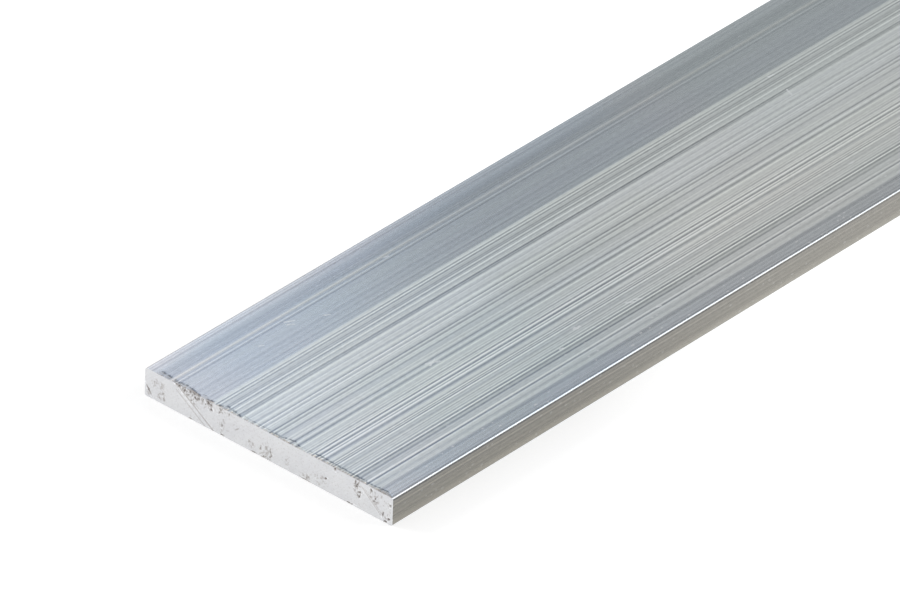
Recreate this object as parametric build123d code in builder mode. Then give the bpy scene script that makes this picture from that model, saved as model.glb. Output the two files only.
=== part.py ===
from build123d import *
import os

# Metal flat bar: one length of extruded aluminium flat, cut square from long mill stock.
# Sizes are in millimetres. The bar lies flat on the floor, with its width along X, its
# length along Y and its thickness along Z. The origin is on the floor, under its middle.

bar_width = 50.0  # the first figure of the trade size, across the section
bar_thickness = 5.0  # the second figure of the trade size
bar_length = 500.0  # what the saw leaves, from one cut end to the other
die_corner_radius = 0.4  # the extrusion die rounds all four long edges by this much

# The section is what the die pushes out: a rectangle whose corners are rounded. It is drawn
# upright, across the length, and stands on Z = 0. The extrusion runs the same distance each
# way from it. Both ends are plain saw cuts, square to the length, so their edges stay sharp.
with BuildPart() as flat_bar:
    with BuildSketch(Plane.XZ) as section:
        with Locations((0, bar_thickness / 2)):
            RectangleRounded(bar_width, bar_thickness, die_corner_radius)
    extrude(amount=bar_length / 2, both=True)

flat_bar.part.label = "flat_bar"

os.makedirs("parts", exist_ok=True)
export_step(flat_bar.part, "parts/flat_bar.step")
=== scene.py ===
"""A metal flat bar: one length of extruded aluminium flat, lying on a pale studio floor.

The bar is one closed mesh. It starts as a box with rounded long edges, is cut into a grid
by planes, and each face is then shaped: die lines run along the long faces, and the two
ends carry the saw's burr, scratches and torn pits.
"""

import logging
import math
import random
from dataclasses import dataclass, field
from enum import Enum
from typing import Iterable, Sequence

import bmesh
import bpy
from bmesh.types import BMesh, BMFace, BMVert
from mathutils import Matrix, Vector, noise

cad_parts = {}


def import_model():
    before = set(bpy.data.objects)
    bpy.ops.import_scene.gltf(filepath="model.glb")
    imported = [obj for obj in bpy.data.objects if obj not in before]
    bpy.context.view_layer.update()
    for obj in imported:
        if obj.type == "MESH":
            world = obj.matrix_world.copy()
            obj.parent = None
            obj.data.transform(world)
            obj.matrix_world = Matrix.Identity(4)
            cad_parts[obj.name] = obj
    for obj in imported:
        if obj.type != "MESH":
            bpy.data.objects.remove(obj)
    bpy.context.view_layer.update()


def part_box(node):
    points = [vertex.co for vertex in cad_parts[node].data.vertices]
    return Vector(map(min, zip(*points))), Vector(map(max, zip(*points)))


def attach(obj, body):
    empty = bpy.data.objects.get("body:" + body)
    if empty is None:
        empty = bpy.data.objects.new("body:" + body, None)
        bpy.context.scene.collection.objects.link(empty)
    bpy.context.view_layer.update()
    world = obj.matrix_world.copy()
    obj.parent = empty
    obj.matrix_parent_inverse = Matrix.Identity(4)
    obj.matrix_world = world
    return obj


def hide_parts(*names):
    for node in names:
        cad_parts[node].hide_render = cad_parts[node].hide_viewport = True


MM = 0.001
NODE = "flat_bar"
PIECE = "flat_bar_dressed"
BAKE_MAP = "OFBake"
LINE_TONE = "line_tone"
# How hollow a place looks: it sets painted shade in hollows, and below 0 a painted highlight.
HOLLOW = "hollow"
# The painted shade in the crease behind the metal pushed over a cut, from 0 to 1.
CREASE_SHADE = "crease_shade"

Pair = tuple[float, float]
Triple = tuple[float, float, float]
Colour = tuple[float, float, float, float]
WHITE: Colour = (1.0, 1.0, 1.0, 1.0)

log = logging.getLogger("flat_bar")


class Side(Enum):
    """The faces of the bar, named as it lies on the floor."""

    TOP = "top"
    UNDERSIDE = "underside"
    LEFT = "left"
    RIGHT = "right"
    NEAR_END = "near end"
    FAR_END = "far end"


class Zone(Enum):
    """The parts of the upper face: bands beside the long edges, and a field between them."""

    BANDS = "smooth bands"
    FIELD = "scored field"


ENDS = (Side.NEAR_END, Side.FAR_END)
OUTWARD = {
    Side.TOP: Vector((0.0, 0.0, 1.0)),
    Side.UNDERSIDE: Vector((0.0, 0.0, -1.0)),
    Side.LEFT: Vector((-1.0, 0.0, 0.0)),
    Side.RIGHT: Vector((1.0, 0.0, 0.0)),
    Side.NEAR_END: Vector((0.0, -1.0, 0.0)),
    Side.FAR_END: Vector((0.0, 1.0, 0.0)),
}


def clamp(value: float, low: float, high: float) -> float:
    """Holds a value between two limits."""
    return max(low, min(high, value))


def bell(off: float, width: float) -> float:
    """Gives 1 where the offset is 0, and less and less to both sides of that."""
    return math.exp(-((off / width) ** 2))


def unevenness(across: float, up: float, per_mm: float, layer: float) -> float:
    """Gives smooth noise at a place in mm, from about -1 to 1, and another for each layer."""
    return noise.noise(Vector((across * per_mm, up * per_mm, layer)))


# ---- Sizes and marks ----


@dataclass(frozen=True)
class BarSizes:
    """The bar's outer sizes, in metres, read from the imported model.

    Attributes:
        width: across the section, along X.
        length: between the two cut ends, along Y.
        thickness: through the section, along Z.
        corner_radius: of the rounding along the four long edges.
    """

    width: float
    length: float
    thickness: float
    corner_radius: float = 0.4 * MM

    @classmethod
    def of_node(cls, node: str) -> "BarSizes":
        """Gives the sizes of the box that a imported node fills."""
        low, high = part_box(node)
        return cls(high[0] - low[0], high[1] - low[1], high[2] - low[2])

    def across(self, place: Vector) -> float:
        """Gives how far a point lies from the bar's left edge, in mm."""
        return (place.x + 0.5 * self.width) / MM


@dataclass(frozen=True)
class DieLine:
    """A line that a flaw in the extrusion die draws along a long face. A few of them are painted shade
    and light instead.

    Attributes:
        place: its distance from the face's left or lower edge, in mm.
        width: from one side of the line to the other, in mm.
        tone: how bright it is: a groove is dark, below 0, and 1 is a plain bright line.
    """

    place: float
    width: float
    tone: float

    def shape(self, across: float) -> float:
        """Gives the line's profile at a place: 1 in its middle, 0 past its sides."""
        off = abs(across - self.place) / (0.5 * self.width)
        return 0.5 + 0.5 * math.cos(math.pi * off) if off < 1.0 else 0.0


# The lines on the face that lies upwards. They are much the same on every bar from one die.
LEFT_BAND_LINES = (
    DieLine(0.6, 0.6, 0.75),
    DieLine(1.1, 0.6, 0.6),
    DieLine(1.5, 0.6, -0.2),
    DieLine(2.0, 1.2, 0.25),
    DieLine(3.4, 2.6, -0.2),
    DieLine(4.5, 1.1, -0.5),
    DieLine(5.23, 0.7, 0.6),
    DieLine(5.85, 0.5, -0.2),
    DieLine(6.22, 0.5, 0.85),
    DieLine(6.6, 0.45, -0.4),
    DieLine(7.3, 0.8, 0.04),
    DieLine(7.7, 0.4, -0.08),
    DieLine(8.4, 1.6, 0.12),
    DieLine(9.6, 1.2, 0.1),
    DieLine(10.25, 0.7, 0.02),
    DieLine(10.7, 0.5, 0.06),
    DieLine(11.4, 0.9, -0.08),
    DieLine(12.0, 0.5, 0.34),
    DieLine(12.45, 0.4, -0.08),
    DieLine(12.8, 0.4, 0.14),
    DieLine(13.15, 0.5, -0.2),
)
FIELD_LINES = (
    # Broad shifts first: the field is a little duller at its sides.
    DieLine(16.0, 5.0, -0.1),
    DieLine(34.5, 11.0, 0.12),
    DieLine(42.8, 6.0, -0.25),
    DieLine(13.7, 0.7, 0.35),
    DieLine(14.1, 0.55, 0.65),
    DieLine(14.35, 0.4, -0.9),
    DieLine(14.65, 0.4, 0.9),
    DieLine(14.95, 0.4, -0.9),
    DieLine(15.25, 0.5, 0.45),
    DieLine(15.55, 0.4, 0.25),
    DieLine(15.8, 0.4, -0.5),
    DieLine(16.25, 0.4, -0.9),
    DieLine(16.5, 0.4, 0.85),
    DieLine(16.85, 0.4, -1.05),
    DieLine(17.45, 0.5, 1.0),
    DieLine(17.8, 0.4, -0.45),
    DieLine(18.05, 0.4, 0.2),
    DieLine(18.4, 0.4, 0.55),
    DieLine(18.75, 0.5, -1.15),
    DieLine(19.15, 0.6, -0.65),
    DieLine(19.7, 0.6, 0.65),
    DieLine(20.4, 0.4, -0.3),
    DieLine(20.7, 0.5, 0.4),
    DieLine(21.0, 0.4, 0.25),
    DieLine(21.25, 0.5, 0.4),
    DieLine(21.65, 0.5, -0.35),
    DieLine(22.3, 0.7, 0.55),
    DieLine(22.85, 0.5, -1.0),
    DieLine(23.15, 0.4, 0.9),
    DieLine(23.55, 0.4, -0.7),
    DieLine(23.95, 0.5, 0.9),
    DieLine(24.35, 0.4, 0.3),
    DieLine(25.2, 0.5, -1.2),
    DieLine(25.55, 0.4, 0.55),
    DieLine(25.9, 0.4, -0.9),
    DieLine(26.25, 0.4, 0.5),
    DieLine(26.65, 0.4, 0.45),
    DieLine(27.05, 0.5, -0.65),
    DieLine(28.3, 1.8, 0.2),
    DieLine(27.85, 0.4, -0.2),
    DieLine(28.15, 0.4, 0.45),
    DieLine(28.8, 0.7, 0.35),
    DieLine(29.35, 0.5, -1.1),
    DieLine(29.95, 0.5, 0.4),
    DieLine(30.5, 0.7, -1.05),
    DieLine(31.1, 0.6, 0.5),
    DieLine(31.55, 0.4, -0.15),
    DieLine(31.95, 0.4, 0.45),
    DieLine(32.2, 0.4, -0.3),
    DieLine(32.45, 0.4, 0.5),
    DieLine(32.75, 0.4, -0.5),
    DieLine(33.0, 0.4, 0.6),
    DieLine(33.4, 0.4, 0.7),
    DieLine(33.75, 0.4, -1.3),
    DieLine(34.05, 0.5, 1.0),
    DieLine(34.5, 0.6, -1.7),
    DieLine(34.85, 0.4, 0.95),
    DieLine(35.1, 0.4, -0.6),
    DieLine(35.4, 0.5, 0.95),
    DieLine(35.85, 0.7, -1.0),
    DieLine(36.15, 0.6, -0.4),
    DieLine(36.7, 0.9, 0.3),
    DieLine(37.1, 0.4, -0.7),
    DieLine(37.35, 0.4, 1.0),
    DieLine(37.6, 0.4, -0.6),
    DieLine(37.8, 0.4, 0.75),
    DieLine(38.0, 0.4, -1.1),
    DieLine(38.3, 0.4, 1.0),
    DieLine(38.6, 0.4, -0.5),
    DieLine(39.2, 0.6, -0.3),
    DieLine(39.6, 0.4, 0.15),
    DieLine(39.85, 0.4, -0.45),
    DieLine(40.05, 0.4, 0.4),
    DieLine(40.3, 0.4, -0.3),
    DieLine(40.55, 0.4, 0.35),
    DieLine(40.8, 0.4, -0.7),
    DieLine(41.1, 0.4, 0.7),
    DieLine(41.45, 0.5, -1.2),
    DieLine(41.75, 0.4, 1.0),
    DieLine(42.1, 0.5, -0.8),
    DieLine(42.45, 0.4, 0.5),
    DieLine(42.85, 0.5, -1.0),
    DieLine(43.25, 0.4, 0.3),
)
RIGHT_BAND_LINES = (
    DieLine(44.25, 0.6, 1.0),
    DieLine(44.65, 0.5, -1.25),
    DieLine(45.05, 0.5, 0.5),
    DieLine(45.8, 0.9, -0.45),
    DieLine(46.3, 0.5, 0.15),
    DieLine(46.7, 0.5, 0.4),
    DieLine(47.35, 0.8, -0.35),
    DieLine(48.2, 3.4, 0.12),
    DieLine(47.8, 0.5, 0.3),
    DieLine(48.25, 0.5, -0.25),
    DieLine(48.7, 0.6, 0.3),
    DieLine(49.05, 0.4, -0.2),
    DieLine(49.3, 0.4, 0.5),
    # Painted shade: a dark line beside the right rounded edge's highlight.
    DieLine(49.6, 0.4, -0.75),
)
TOP_LINES = LEFT_BAND_LINES + FIELD_LINES + RIGHT_BAND_LINES

# The lines on the narrow side that faces right. The dark line under its upper edge is painted shade
# beside the edge's highlight, and the broad bright line at its foot is a painted reflection of the
# floor.
RIGHT_LINES_AND_PAINTED_LIGHT = (
    DieLine(4.66, 0.4, -1.3),
    DieLine(4.0, 0.6, -0.3),
    DieLine(3.73, 0.45, 0.6),
    DieLine(3.4, 0.45, -0.35),
    DieLine(2.6, 0.5, -0.2),
    DieLine(2.2, 0.5, 0.3),
    DieLine(1.8, 0.4, -0.1),
    DieLine(1.2, 0.4, 0.15),
    DieLine(0.5, 2.4, 0.65),
)


@dataclass(frozen=True)
class DieRandom:
    """How lines are drawn at random where none are named.

    Attributes:
        seed: of the random draws.
        start: where they start, in mm from the face's left or lower edge.
        stop: where they stop.
        per_mm: how many lines there are in each millimetre.
        widest: the widest line, in mm.
        strongest: the largest tone, either way.
        narrowest: the narrowest line, in mm.
    """

    seed: int
    start: float
    stop: float
    per_mm: float
    widest: float
    strongest: float
    narrowest: float = 0.3

    def lines(self) -> tuple[DieLine, ...]:
        """Draws the lines.

        Returns:
            The lines, in no order.
        """
        draw = random.Random(self.seed)
        return tuple(
            DieLine(
                place=draw.uniform(self.start, self.stop),
                width=draw.uniform(self.narrowest, self.widest),
                tone=draw.uniform(-self.strongest, self.strongest),
            )
            for _ in range(round(self.per_mm * (self.stop - self.start)))
        )


@dataclass(frozen=True)
class Pit:
    """A torn or chipped spot beside the saw's cut.

    Attributes:
        across: its distance from the bar's left edge, in mm.
        up: its height above the floor, in mm.
        long: its longer half-size, in mm.
        wide: its shorter half-size, in mm.
        lean: how far its longer side leans from upright, to the right, in degrees.
        depth: how deep it is, in mm.
    """

    across: float
    up: float
    long: float
    wide: float
    lean: float
    depth: float

    # How far out it is worked out, its ragged outline and its raised rim, in half-sizes.
    SPAN = 1.5
    RAGGEDNESS = 0.5
    RAGGED_PER_MM = 3.5
    RIM_AT = 1.25
    RIM_WIDTH = 0.2
    RIM_HEIGHT = 0.35
    STEEPNESS = 1.3

    def shape(self, across: float, up: float) -> float:
        """Gives the pit's depth at a place.

        Args:
            across: the place's distance from the left edge, in mm.
            up: its height, in mm.

        Returns:
            The depth as a share of the full one: below 0 on the rim.
        """
        reach = self.SPAN * (self.long + self.wide)
        off_across, off_up = across - self.across, up - self.up
        if abs(off_across) > reach or abs(off_up) > reach:
            return 0.0
        ragged = self.RAGGEDNESS * unevenness(across, up, self.RAGGED_PER_MM, self.across)
        turn = math.radians(self.lean)
        along = off_across * math.sin(turn) + off_up * math.cos(turn)
        aside = off_across * math.cos(turn) - off_up * math.sin(turn)
        off = math.hypot(along / self.long, aside / self.wide) + ragged
        rim = bell(off - self.RIM_AT, self.RIM_WIDTH)
        return clamp(self.STEEPNESS * (1.0 - off), -self.RIM_HEIGHT * rim, 1.0)


@dataclass(frozen=True)
class TornPatch:
    """An oval stretch of an end that is torn in ragged spots.

    Attributes:
        across: its middle's distance from the bar's left edge, in mm.
        up: its middle's height, in mm.
        half_across: half its width, in mm.
        half_up: half its height, in mm.
        strength: how torn its worst spots are, from 0 to 1.
    """

    across: float
    up: float
    half_across: float
    half_up: float
    strength: float

    # Its larger and smaller torn spots, and how much sound metal stays between them.
    COARSE_PER_MM = 2.6
    FINE_PER_MM = 6.0
    FINE_SHARE = 0.6
    CONTRAST = 2.4
    SOUND = 0.15
    STEEPNESS = 2.0

    def shape(self, across: float, up: float) -> float:
        """Gives how torn a place is.

        Args:
            across: the place's distance from the left edge, in mm.
            up: its height, in mm.

        Returns:
            From 0, sound, to 1.
        """
        off_across = (across - self.across) / self.half_across
        off_up = (up - self.up) / self.half_up
        inside = 1.0 - off_across**2 - off_up**2
        if inside <= 0.0:
            return 0.0
        coarse = unevenness(across, up, self.COARSE_PER_MM, self.across)
        fine = unevenness(across, up, self.FINE_PER_MM, self.up)
        torn = max(0.0, self.CONTRAST * (coarse + self.FINE_SHARE * fine) - self.SOUND)
        return self.strength * min(1.0, self.STEEPNESS * inside) * min(1.0, torn)


@dataclass(frozen=True)
class Scratch:
    """A straight score that a saw tooth leaves across a cut end.

    Attributes:
        start: where it starts, as (across, up) in mm.
        end: where it ends.
        width: from side to side, in mm.
        depth: in mm.
    """

    start: Pair
    end: Pair
    width: float
    depth: float

    # Its raised rims, in half-widths, and how steeply its sides fall.
    RIM_AT = 1.5
    RIM_WIDTH = 0.4
    RIM_HEIGHT = 0.5
    STEEPNESS = 1.7

    def shape(self, across: float, up: float) -> float:
        """Gives the scratch's depth at a place.

        Args:
            across: the place's distance from the left edge, in mm.
            up: its height, in mm.

        Returns:
            The depth as a share of the full one: below 0 on the rims.
        """
        run = (self.end[0] - self.start[0], self.end[1] - self.start[1])
        reach = math.hypot(*run)
        off = (across - self.start[0], up - self.start[1])
        along = (off[0] * run[0] + off[1] * run[1]) / reach
        if not 0.0 < along < reach:
            return 0.0
        aside = abs(off[0] * run[1] - off[1] * run[0]) / reach / (0.5 * self.width)
        rim = bell(aside - self.RIM_AT, self.RIM_WIDTH)
        return clamp(self.STEEPNESS - self.STEEPNESS * aside, -self.RIM_HEIGHT * rim, 1.0)


@dataclass(frozen=True)
class Burr:
    """A stretch of the cut's upper edge where the saw pushed the metal over.

    Attributes:
        start: where it starts, in mm from the bar's left edge.
        stop: where it stops.
        size: its strength, from 0 to 1.
        reach: how far in from the cut the pushed metal ends, in mm, at the start and the stop.
        wear_and_shade: how worn the pushed metal is, with its painted shade, from 0 to 1.
        edge: how dark the line along the cut is, from 0 to 1: partly painted shade under the pushed
            lip.
    """

    start: float
    stop: float
    size: float
    reach: Pair = (0.65, 0.65)
    wear_and_shade: float = 0.3
    edge: float = 0.3

    # It fades out over so much of each of its ends, in mm.
    FADE = 0.4

    def shape(self, across: float) -> float:
        """Gives the burr's strength at a place along the edge, in mm from the left."""
        inside = min(across - self.start, self.stop - across)
        return self.size * clamp(inside / self.FADE, 0.0, 1.0)

    def reach_at(self, across: float) -> float:
        """Gives how far in the pushed metal ends at a place, in mm."""
        share = clamp((across - self.start) / (self.stop - self.start), 0.0, 1.0)
        return self.reach[0] + (self.reach[1] - self.reach[0]) * share


# The end that lies nearest: what the saw tore out of it, from left to right.
NEAR_PITS = (
    Pit(0.8, 1.3, 1.2, 0.24, -38.0, 0.12),
    Pit(0.7, 0.7, 0.6, 0.35, -30.0, 0.05),
    Pit(1.9, 3.1, 0.7, 0.16, 4.0, 0.07),
    Pit(2.4, 3.4, 0.6, 0.16, 0.0, 0.06),
    Pit(2.8, 3.3, 0.5, 0.15, -4.0, 0.05),
    Pit(2.1, 2.6, 0.7, 0.17, 65.0, 0.06),
    Pit(3.6, 2.8, 0.7, 0.18, -50.0, 0.06),
    Pit(3.95, 3.6, 0.4, 0.17, 30.0, 0.04),
    Pit(3.6, 1.85, 0.42, 0.26, 40.0, 0.1),
    Pit(3.95, 1.35, 0.5, 0.18, -15.0, 0.06),
    Pit(2.9, 1.45, 0.8, 0.2, 35.0, 0.06),
    Pit(3.35, 0.8, 0.6, 0.2, 25.0, 0.05),
    Pit(6.35, 5.0, 0.4, 0.3, 80.0, 0.16),
    Pit(6.9, 4.8, 0.37, 0.34, 40.0, 0.2),
    Pit(7.55, 4.6, 0.5, 0.17, 30.0, 0.1),
    Pit(7.95, 4.45, 0.62, 0.22, 35.0, 0.15),
    Pit(8.45, 4.55, 0.5, 0.16, 30.0, 0.12),
    Pit(8.7, 4.0, 0.5, 0.2, 45.0, 0.1),
    Pit(9.1, 4.75, 0.5, 0.27, 60.0, 0.16),
    Pit(9.5, 4.2, 0.4, 0.16, 35.0, 0.09),
    Pit(9.9, 4.8, 0.53, 0.31, 75.0, 0.2),
    Pit(10.1, 4.25, 0.37, 0.27, 30.0, 0.16),
    Pit(10.75, 4.3, 0.4, 0.34, 40.0, 0.2),
    Pit(10.8, 4.85, 0.5, 0.24, 70.0, 0.15),
    Pit(10.4, 3.75, 0.4, 0.16, 40.0, 0.06),
    Pit(11.5, 4.7, 0.5, 0.18, 35.0, 0.08),
    Pit(11.7, 4.1, 0.62, 0.18, 30.0, 0.07),
    Pit(12.1, 3.4, 0.5, 0.18, 35.0, 0.05),
    Pit(9.35, 3.4, 0.4, 0.22, 40.0, 0.14),
    Pit(9.95, 3.0, 0.3, 0.2, 40.0, 0.1),
    Pit(12.8, 4.55, 0.6, 0.36, 5.0, 0.14),
    Pit(13.3, 4.35, 0.5, 0.36, -30.0, 0.16),
    Pit(13.4, 3.55, 0.42, 0.3, 60.0, 0.17),
    Pit(12.9, 3.8, 0.3, 0.2, 0.0, 0.07),
    Pit(15.45, 4.5, 0.8, 0.2, 36.0, 0.1),
    Pit(15.1, 3.95, 0.5, 0.24, 40.0, 0.1),
    Pit(17.05, 4.4, 0.5, 0.2, 15.0, 0.09),
    Pit(15.9, 2.9, 0.36, 0.17, 20.0, 0.07),
    Pit(15.65, 1.85, 0.42, 0.24, 10.0, 0.09),
    Pit(15.65, 0.85, 0.4, 0.2, 0.0, 0.07),
    Pit(15.7, 0.1, 0.5, 0.3, 75.0, 0.2),
    Pit(18.6, 2.5, 0.65, 0.17, 48.0, 0.08),
    Pit(18.95, 2.75, 0.5, 0.15, 48.0, 0.06),
    Pit(18.1, 3.1, 0.4, 0.15, 60.0, 0.04),
    Pit(16.9, 1.4, 0.5, 0.2, 50.0, 0.04),
    Pit(21.1, 1.55, 0.4, 0.24, 20.0, 0.08),
    Pit(21.9, 1.35, 0.4, 0.22, 30.0, 0.07),
    Pit(24.7, 2.1, 0.7, 0.22, 45.0, 0.07),
    Pit(24.85, 3.0, 0.5, 0.2, 5.0, 0.04),
    Pit(24.8, 1.05, 0.7, 0.4, 30.0, 0.07),
    Pit(25.5, 0.85, 0.6, 0.22, 42.0, 0.12),
    Pit(23.9, 0.8, 1.1, 0.2, 55.0, 0.07),
    Pit(24.3, 0.3, 0.9, 0.2, 70.0, 0.08),
    Pit(28.65, 1.75, 0.42, 0.26, 30.0, 0.07),
    Pit(29.0, 1.3, 0.46, 0.2, 20.0, 0.06),
    Pit(32.9, 0.6, 0.6, 0.3, 35.0, 0.09),
    Pit(32.2, 0.7, 0.7, 0.17, 60.0, 0.06),
    Pit(33.6, 1.5, 0.5, 0.15, 45.0, 0.04),
    Pit(34.95, 1.5, 0.4, 0.22, 50.0, 0.06),
    Pit(35.3, 0.6, 0.4, 0.25, 20.0, 0.05),
    Pit(35.75, 1.75, 0.42, 0.17, 60.0, 0.06),
    Pit(36.55, 2.2, 0.4, 0.2, 55.0, 0.15),
    Pit(38.4, 4.75, 0.4, 0.28, 10.0, 0.17),
    Pit(38.4, 3.5, 0.6, 0.2, 50.0, 0.03),
    Pit(42.45, 4.35, 0.8, 0.17, 10.0, 0.11),
    Pit(42.95, 4.3, 0.8, 0.17, 25.0, 0.12),
    Pit(42.65, 3.65, 0.45, 0.26, 45.0, 0.2),
    Pit(43.3, 2.95, 0.6, 0.3, 70.0, 0.16),
    Pit(43.45, 2.5, 0.45, 0.18, 10.0, 0.1),
    Pit(43.2, 2.1, 0.35, 0.25, 40.0, 0.18),
    Pit(45.6, 4.35, 0.42, 0.3, 20.0, 0.18),
    Pit(45.5, 3.9, 0.37, 0.14, 0.0, 0.08),
    Pit(46.5, 3.3, 0.65, 0.18, 30.0, 0.11),
    Pit(46.15, 2.7, 0.4, 0.2, 60.0, 0.14),
    Pit(46.7, 2.75, 0.45, 0.15, 75.0, 0.1),
    Pit(47.7, 4.2, 0.5, 0.27, 20.0, 0.05),
    Pit(48.0, 1.25, 0.6, 0.2, 10.0, 0.15),
    Pit(49.45, 3.4, 0.36, 0.3, 30.0, 0.2),
    Pit(49.2, 0.85, 0.38, 0.3, 40.0, 0.2),
    Pit(48.6, 0.2, 0.42, 0.26, 80.0, 0.17),
    Pit(9.4, 0.1, 0.9, 0.16, 88.0, 0.1),
    Pit(22.1, 0.1, 0.8, 0.18, 80.0, 0.12),
    Pit(23.9, 0.05, 1.1, 0.16, 90.0, 0.1),
    Pit(32.4, 0.08, 0.9, 0.16, 90.0, 0.12),
    Pit(41.2, 0.1, 1.2, 0.17, 82.0, 0.14),
)

# Where the metal is torn all over, in ragged spots.
NEAR_PATCHES = (
    TornPatch(10.0, 4.6, 4.4, 1.1, 0.72),
    TornPatch(15.3, 4.4, 1.8, 1.0, 0.5),
    TornPatch(2.6, 3.1, 1.6, 0.9, 0.5),
    TornPatch(3.4, 1.4, 1.1, 1.1, 0.6),
    TornPatch(15.7, 1.8, 0.7, 2.0, 0.35),
    TornPatch(21.6, 1.3, 1.1, 0.8, 0.5),
    TornPatch(24.6, 1.2, 1.7, 1.7, 0.7),
    TornPatch(28.8, 1.6, 0.7, 0.9, 0.5),
    TornPatch(32.8, 0.6, 1.5, 1.0, 0.6),
    TornPatch(35.5, 1.5, 1.5, 1.3, 0.45),
    TornPatch(42.8, 3.4, 0.9, 1.9, 0.7),
    TornPatch(46.3, 3.3, 1.2, 1.4, 0.6),
    TornPatch(48.8, 2.0, 1.1, 2.4, 0.4),
    TornPatch(25.0, 2.5, 30.0, 4.0, 0.18),
)

NEAR_SCRATCHES = (
    Scratch((6.6, 4.86), (14.0, 0.05), 0.42, 0.026),
    Scratch((6.3, 4.0), (12.35, 0.05), 0.4, 0.019),
    Scratch((7.6, 4.9), (11.0, 2.6), 0.3, 0.018),
    Scratch((43.7, 4.2), (47.6, 0.9), 0.32, 0.02),
    Scratch((44.3, 4.1), (48.1, 0.9), 0.3, 0.018),
    Scratch((45.0, 3.9), (48.6, 0.7), 0.28, 0.012),
)

NEAR_BURRS = (
    Burr(2.0, 50.0, 0.3, (0.7, 0.7), 0.3, 0.1),
    Burr(2.4, 5.3, 1.0, (1.0, 0.75), 0.3, 0.3),
    Burr(5.5, 7.6, 1.0, (0.45, 0.85), 0.3, 0.0),
    Burr(7.4, 8.9, 1.0, (0.85, 0.7), 0.6, 0.1),
    Burr(8.6, 11.3, 1.0, (0.68, 0.2), 0.9, 0.15),
    Burr(12.2, 14.0, 1.0, (0.15, 0.4), 0.9, 0.2),
    Burr(14.4, 15.9, 0.9, (0.15, 0.55), 0.8, 0.7),
    Burr(15.5, 16.9, 0.9, (0.85, 0.95), 0.8, 0.6),
    Burr(16.6, 19.6, 0.85, (0.85, 0.25), 0.5, 0.1),
    Burr(20.0, 25.2, 0.45, (0.6, 0.7), 0.5, 0.1),
    Burr(25.0, 27.9, 0.65, (0.5, 0.6), 0.7, 0.2),
    Burr(27.5, 30.0, 1.0, (0.7, 1.1), 0.7, 0.4),
    Burr(30.0, 31.3, 0.7, (0.7, 0.5), 0.6, 0.3),
    Burr(33.5, 36.6, 1.0, (0.78, 0.85), 0.9, 0.0),
    Burr(36.3, 38.4, 1.0, (0.78, 0.7), 0.8, 0.0),
    Burr(38.0, 41.9, 0.95, (0.75, 0.66), 0.8, 0.05),
    Burr(41.6, 44.2, 1.0, (0.68, 0.74), 0.9, 0.1),
    Burr(43.9, 46.5, 0.9, (0.5, 0.62), 0.6, 0.1),
    Burr(46.1, 48.7, 1.0, (0.65, 0.88), 1.0, 0.2),
    Burr(48.4, 49.8, 0.6, (0.4, 0.3), 0.6, 0.2),
)


@dataclass(frozen=True)
class EdgeNoise:
    """Smooth noise along the upper edge of a cut.

    Attributes:
        per_mm: how quickly it changes.
        amount: what it is multiplied by.
        layer: tells it from the other noises of its cut.
    """

    per_mm: float
    amount: float
    layer: float

    def at(self, across: float, seed: float) -> float:
        """Gives the noise at a place in mm, on the cut that has this seed."""
        return self.amount * noise.noise(Vector((across * self.per_mm, seed, self.layer)))


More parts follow.
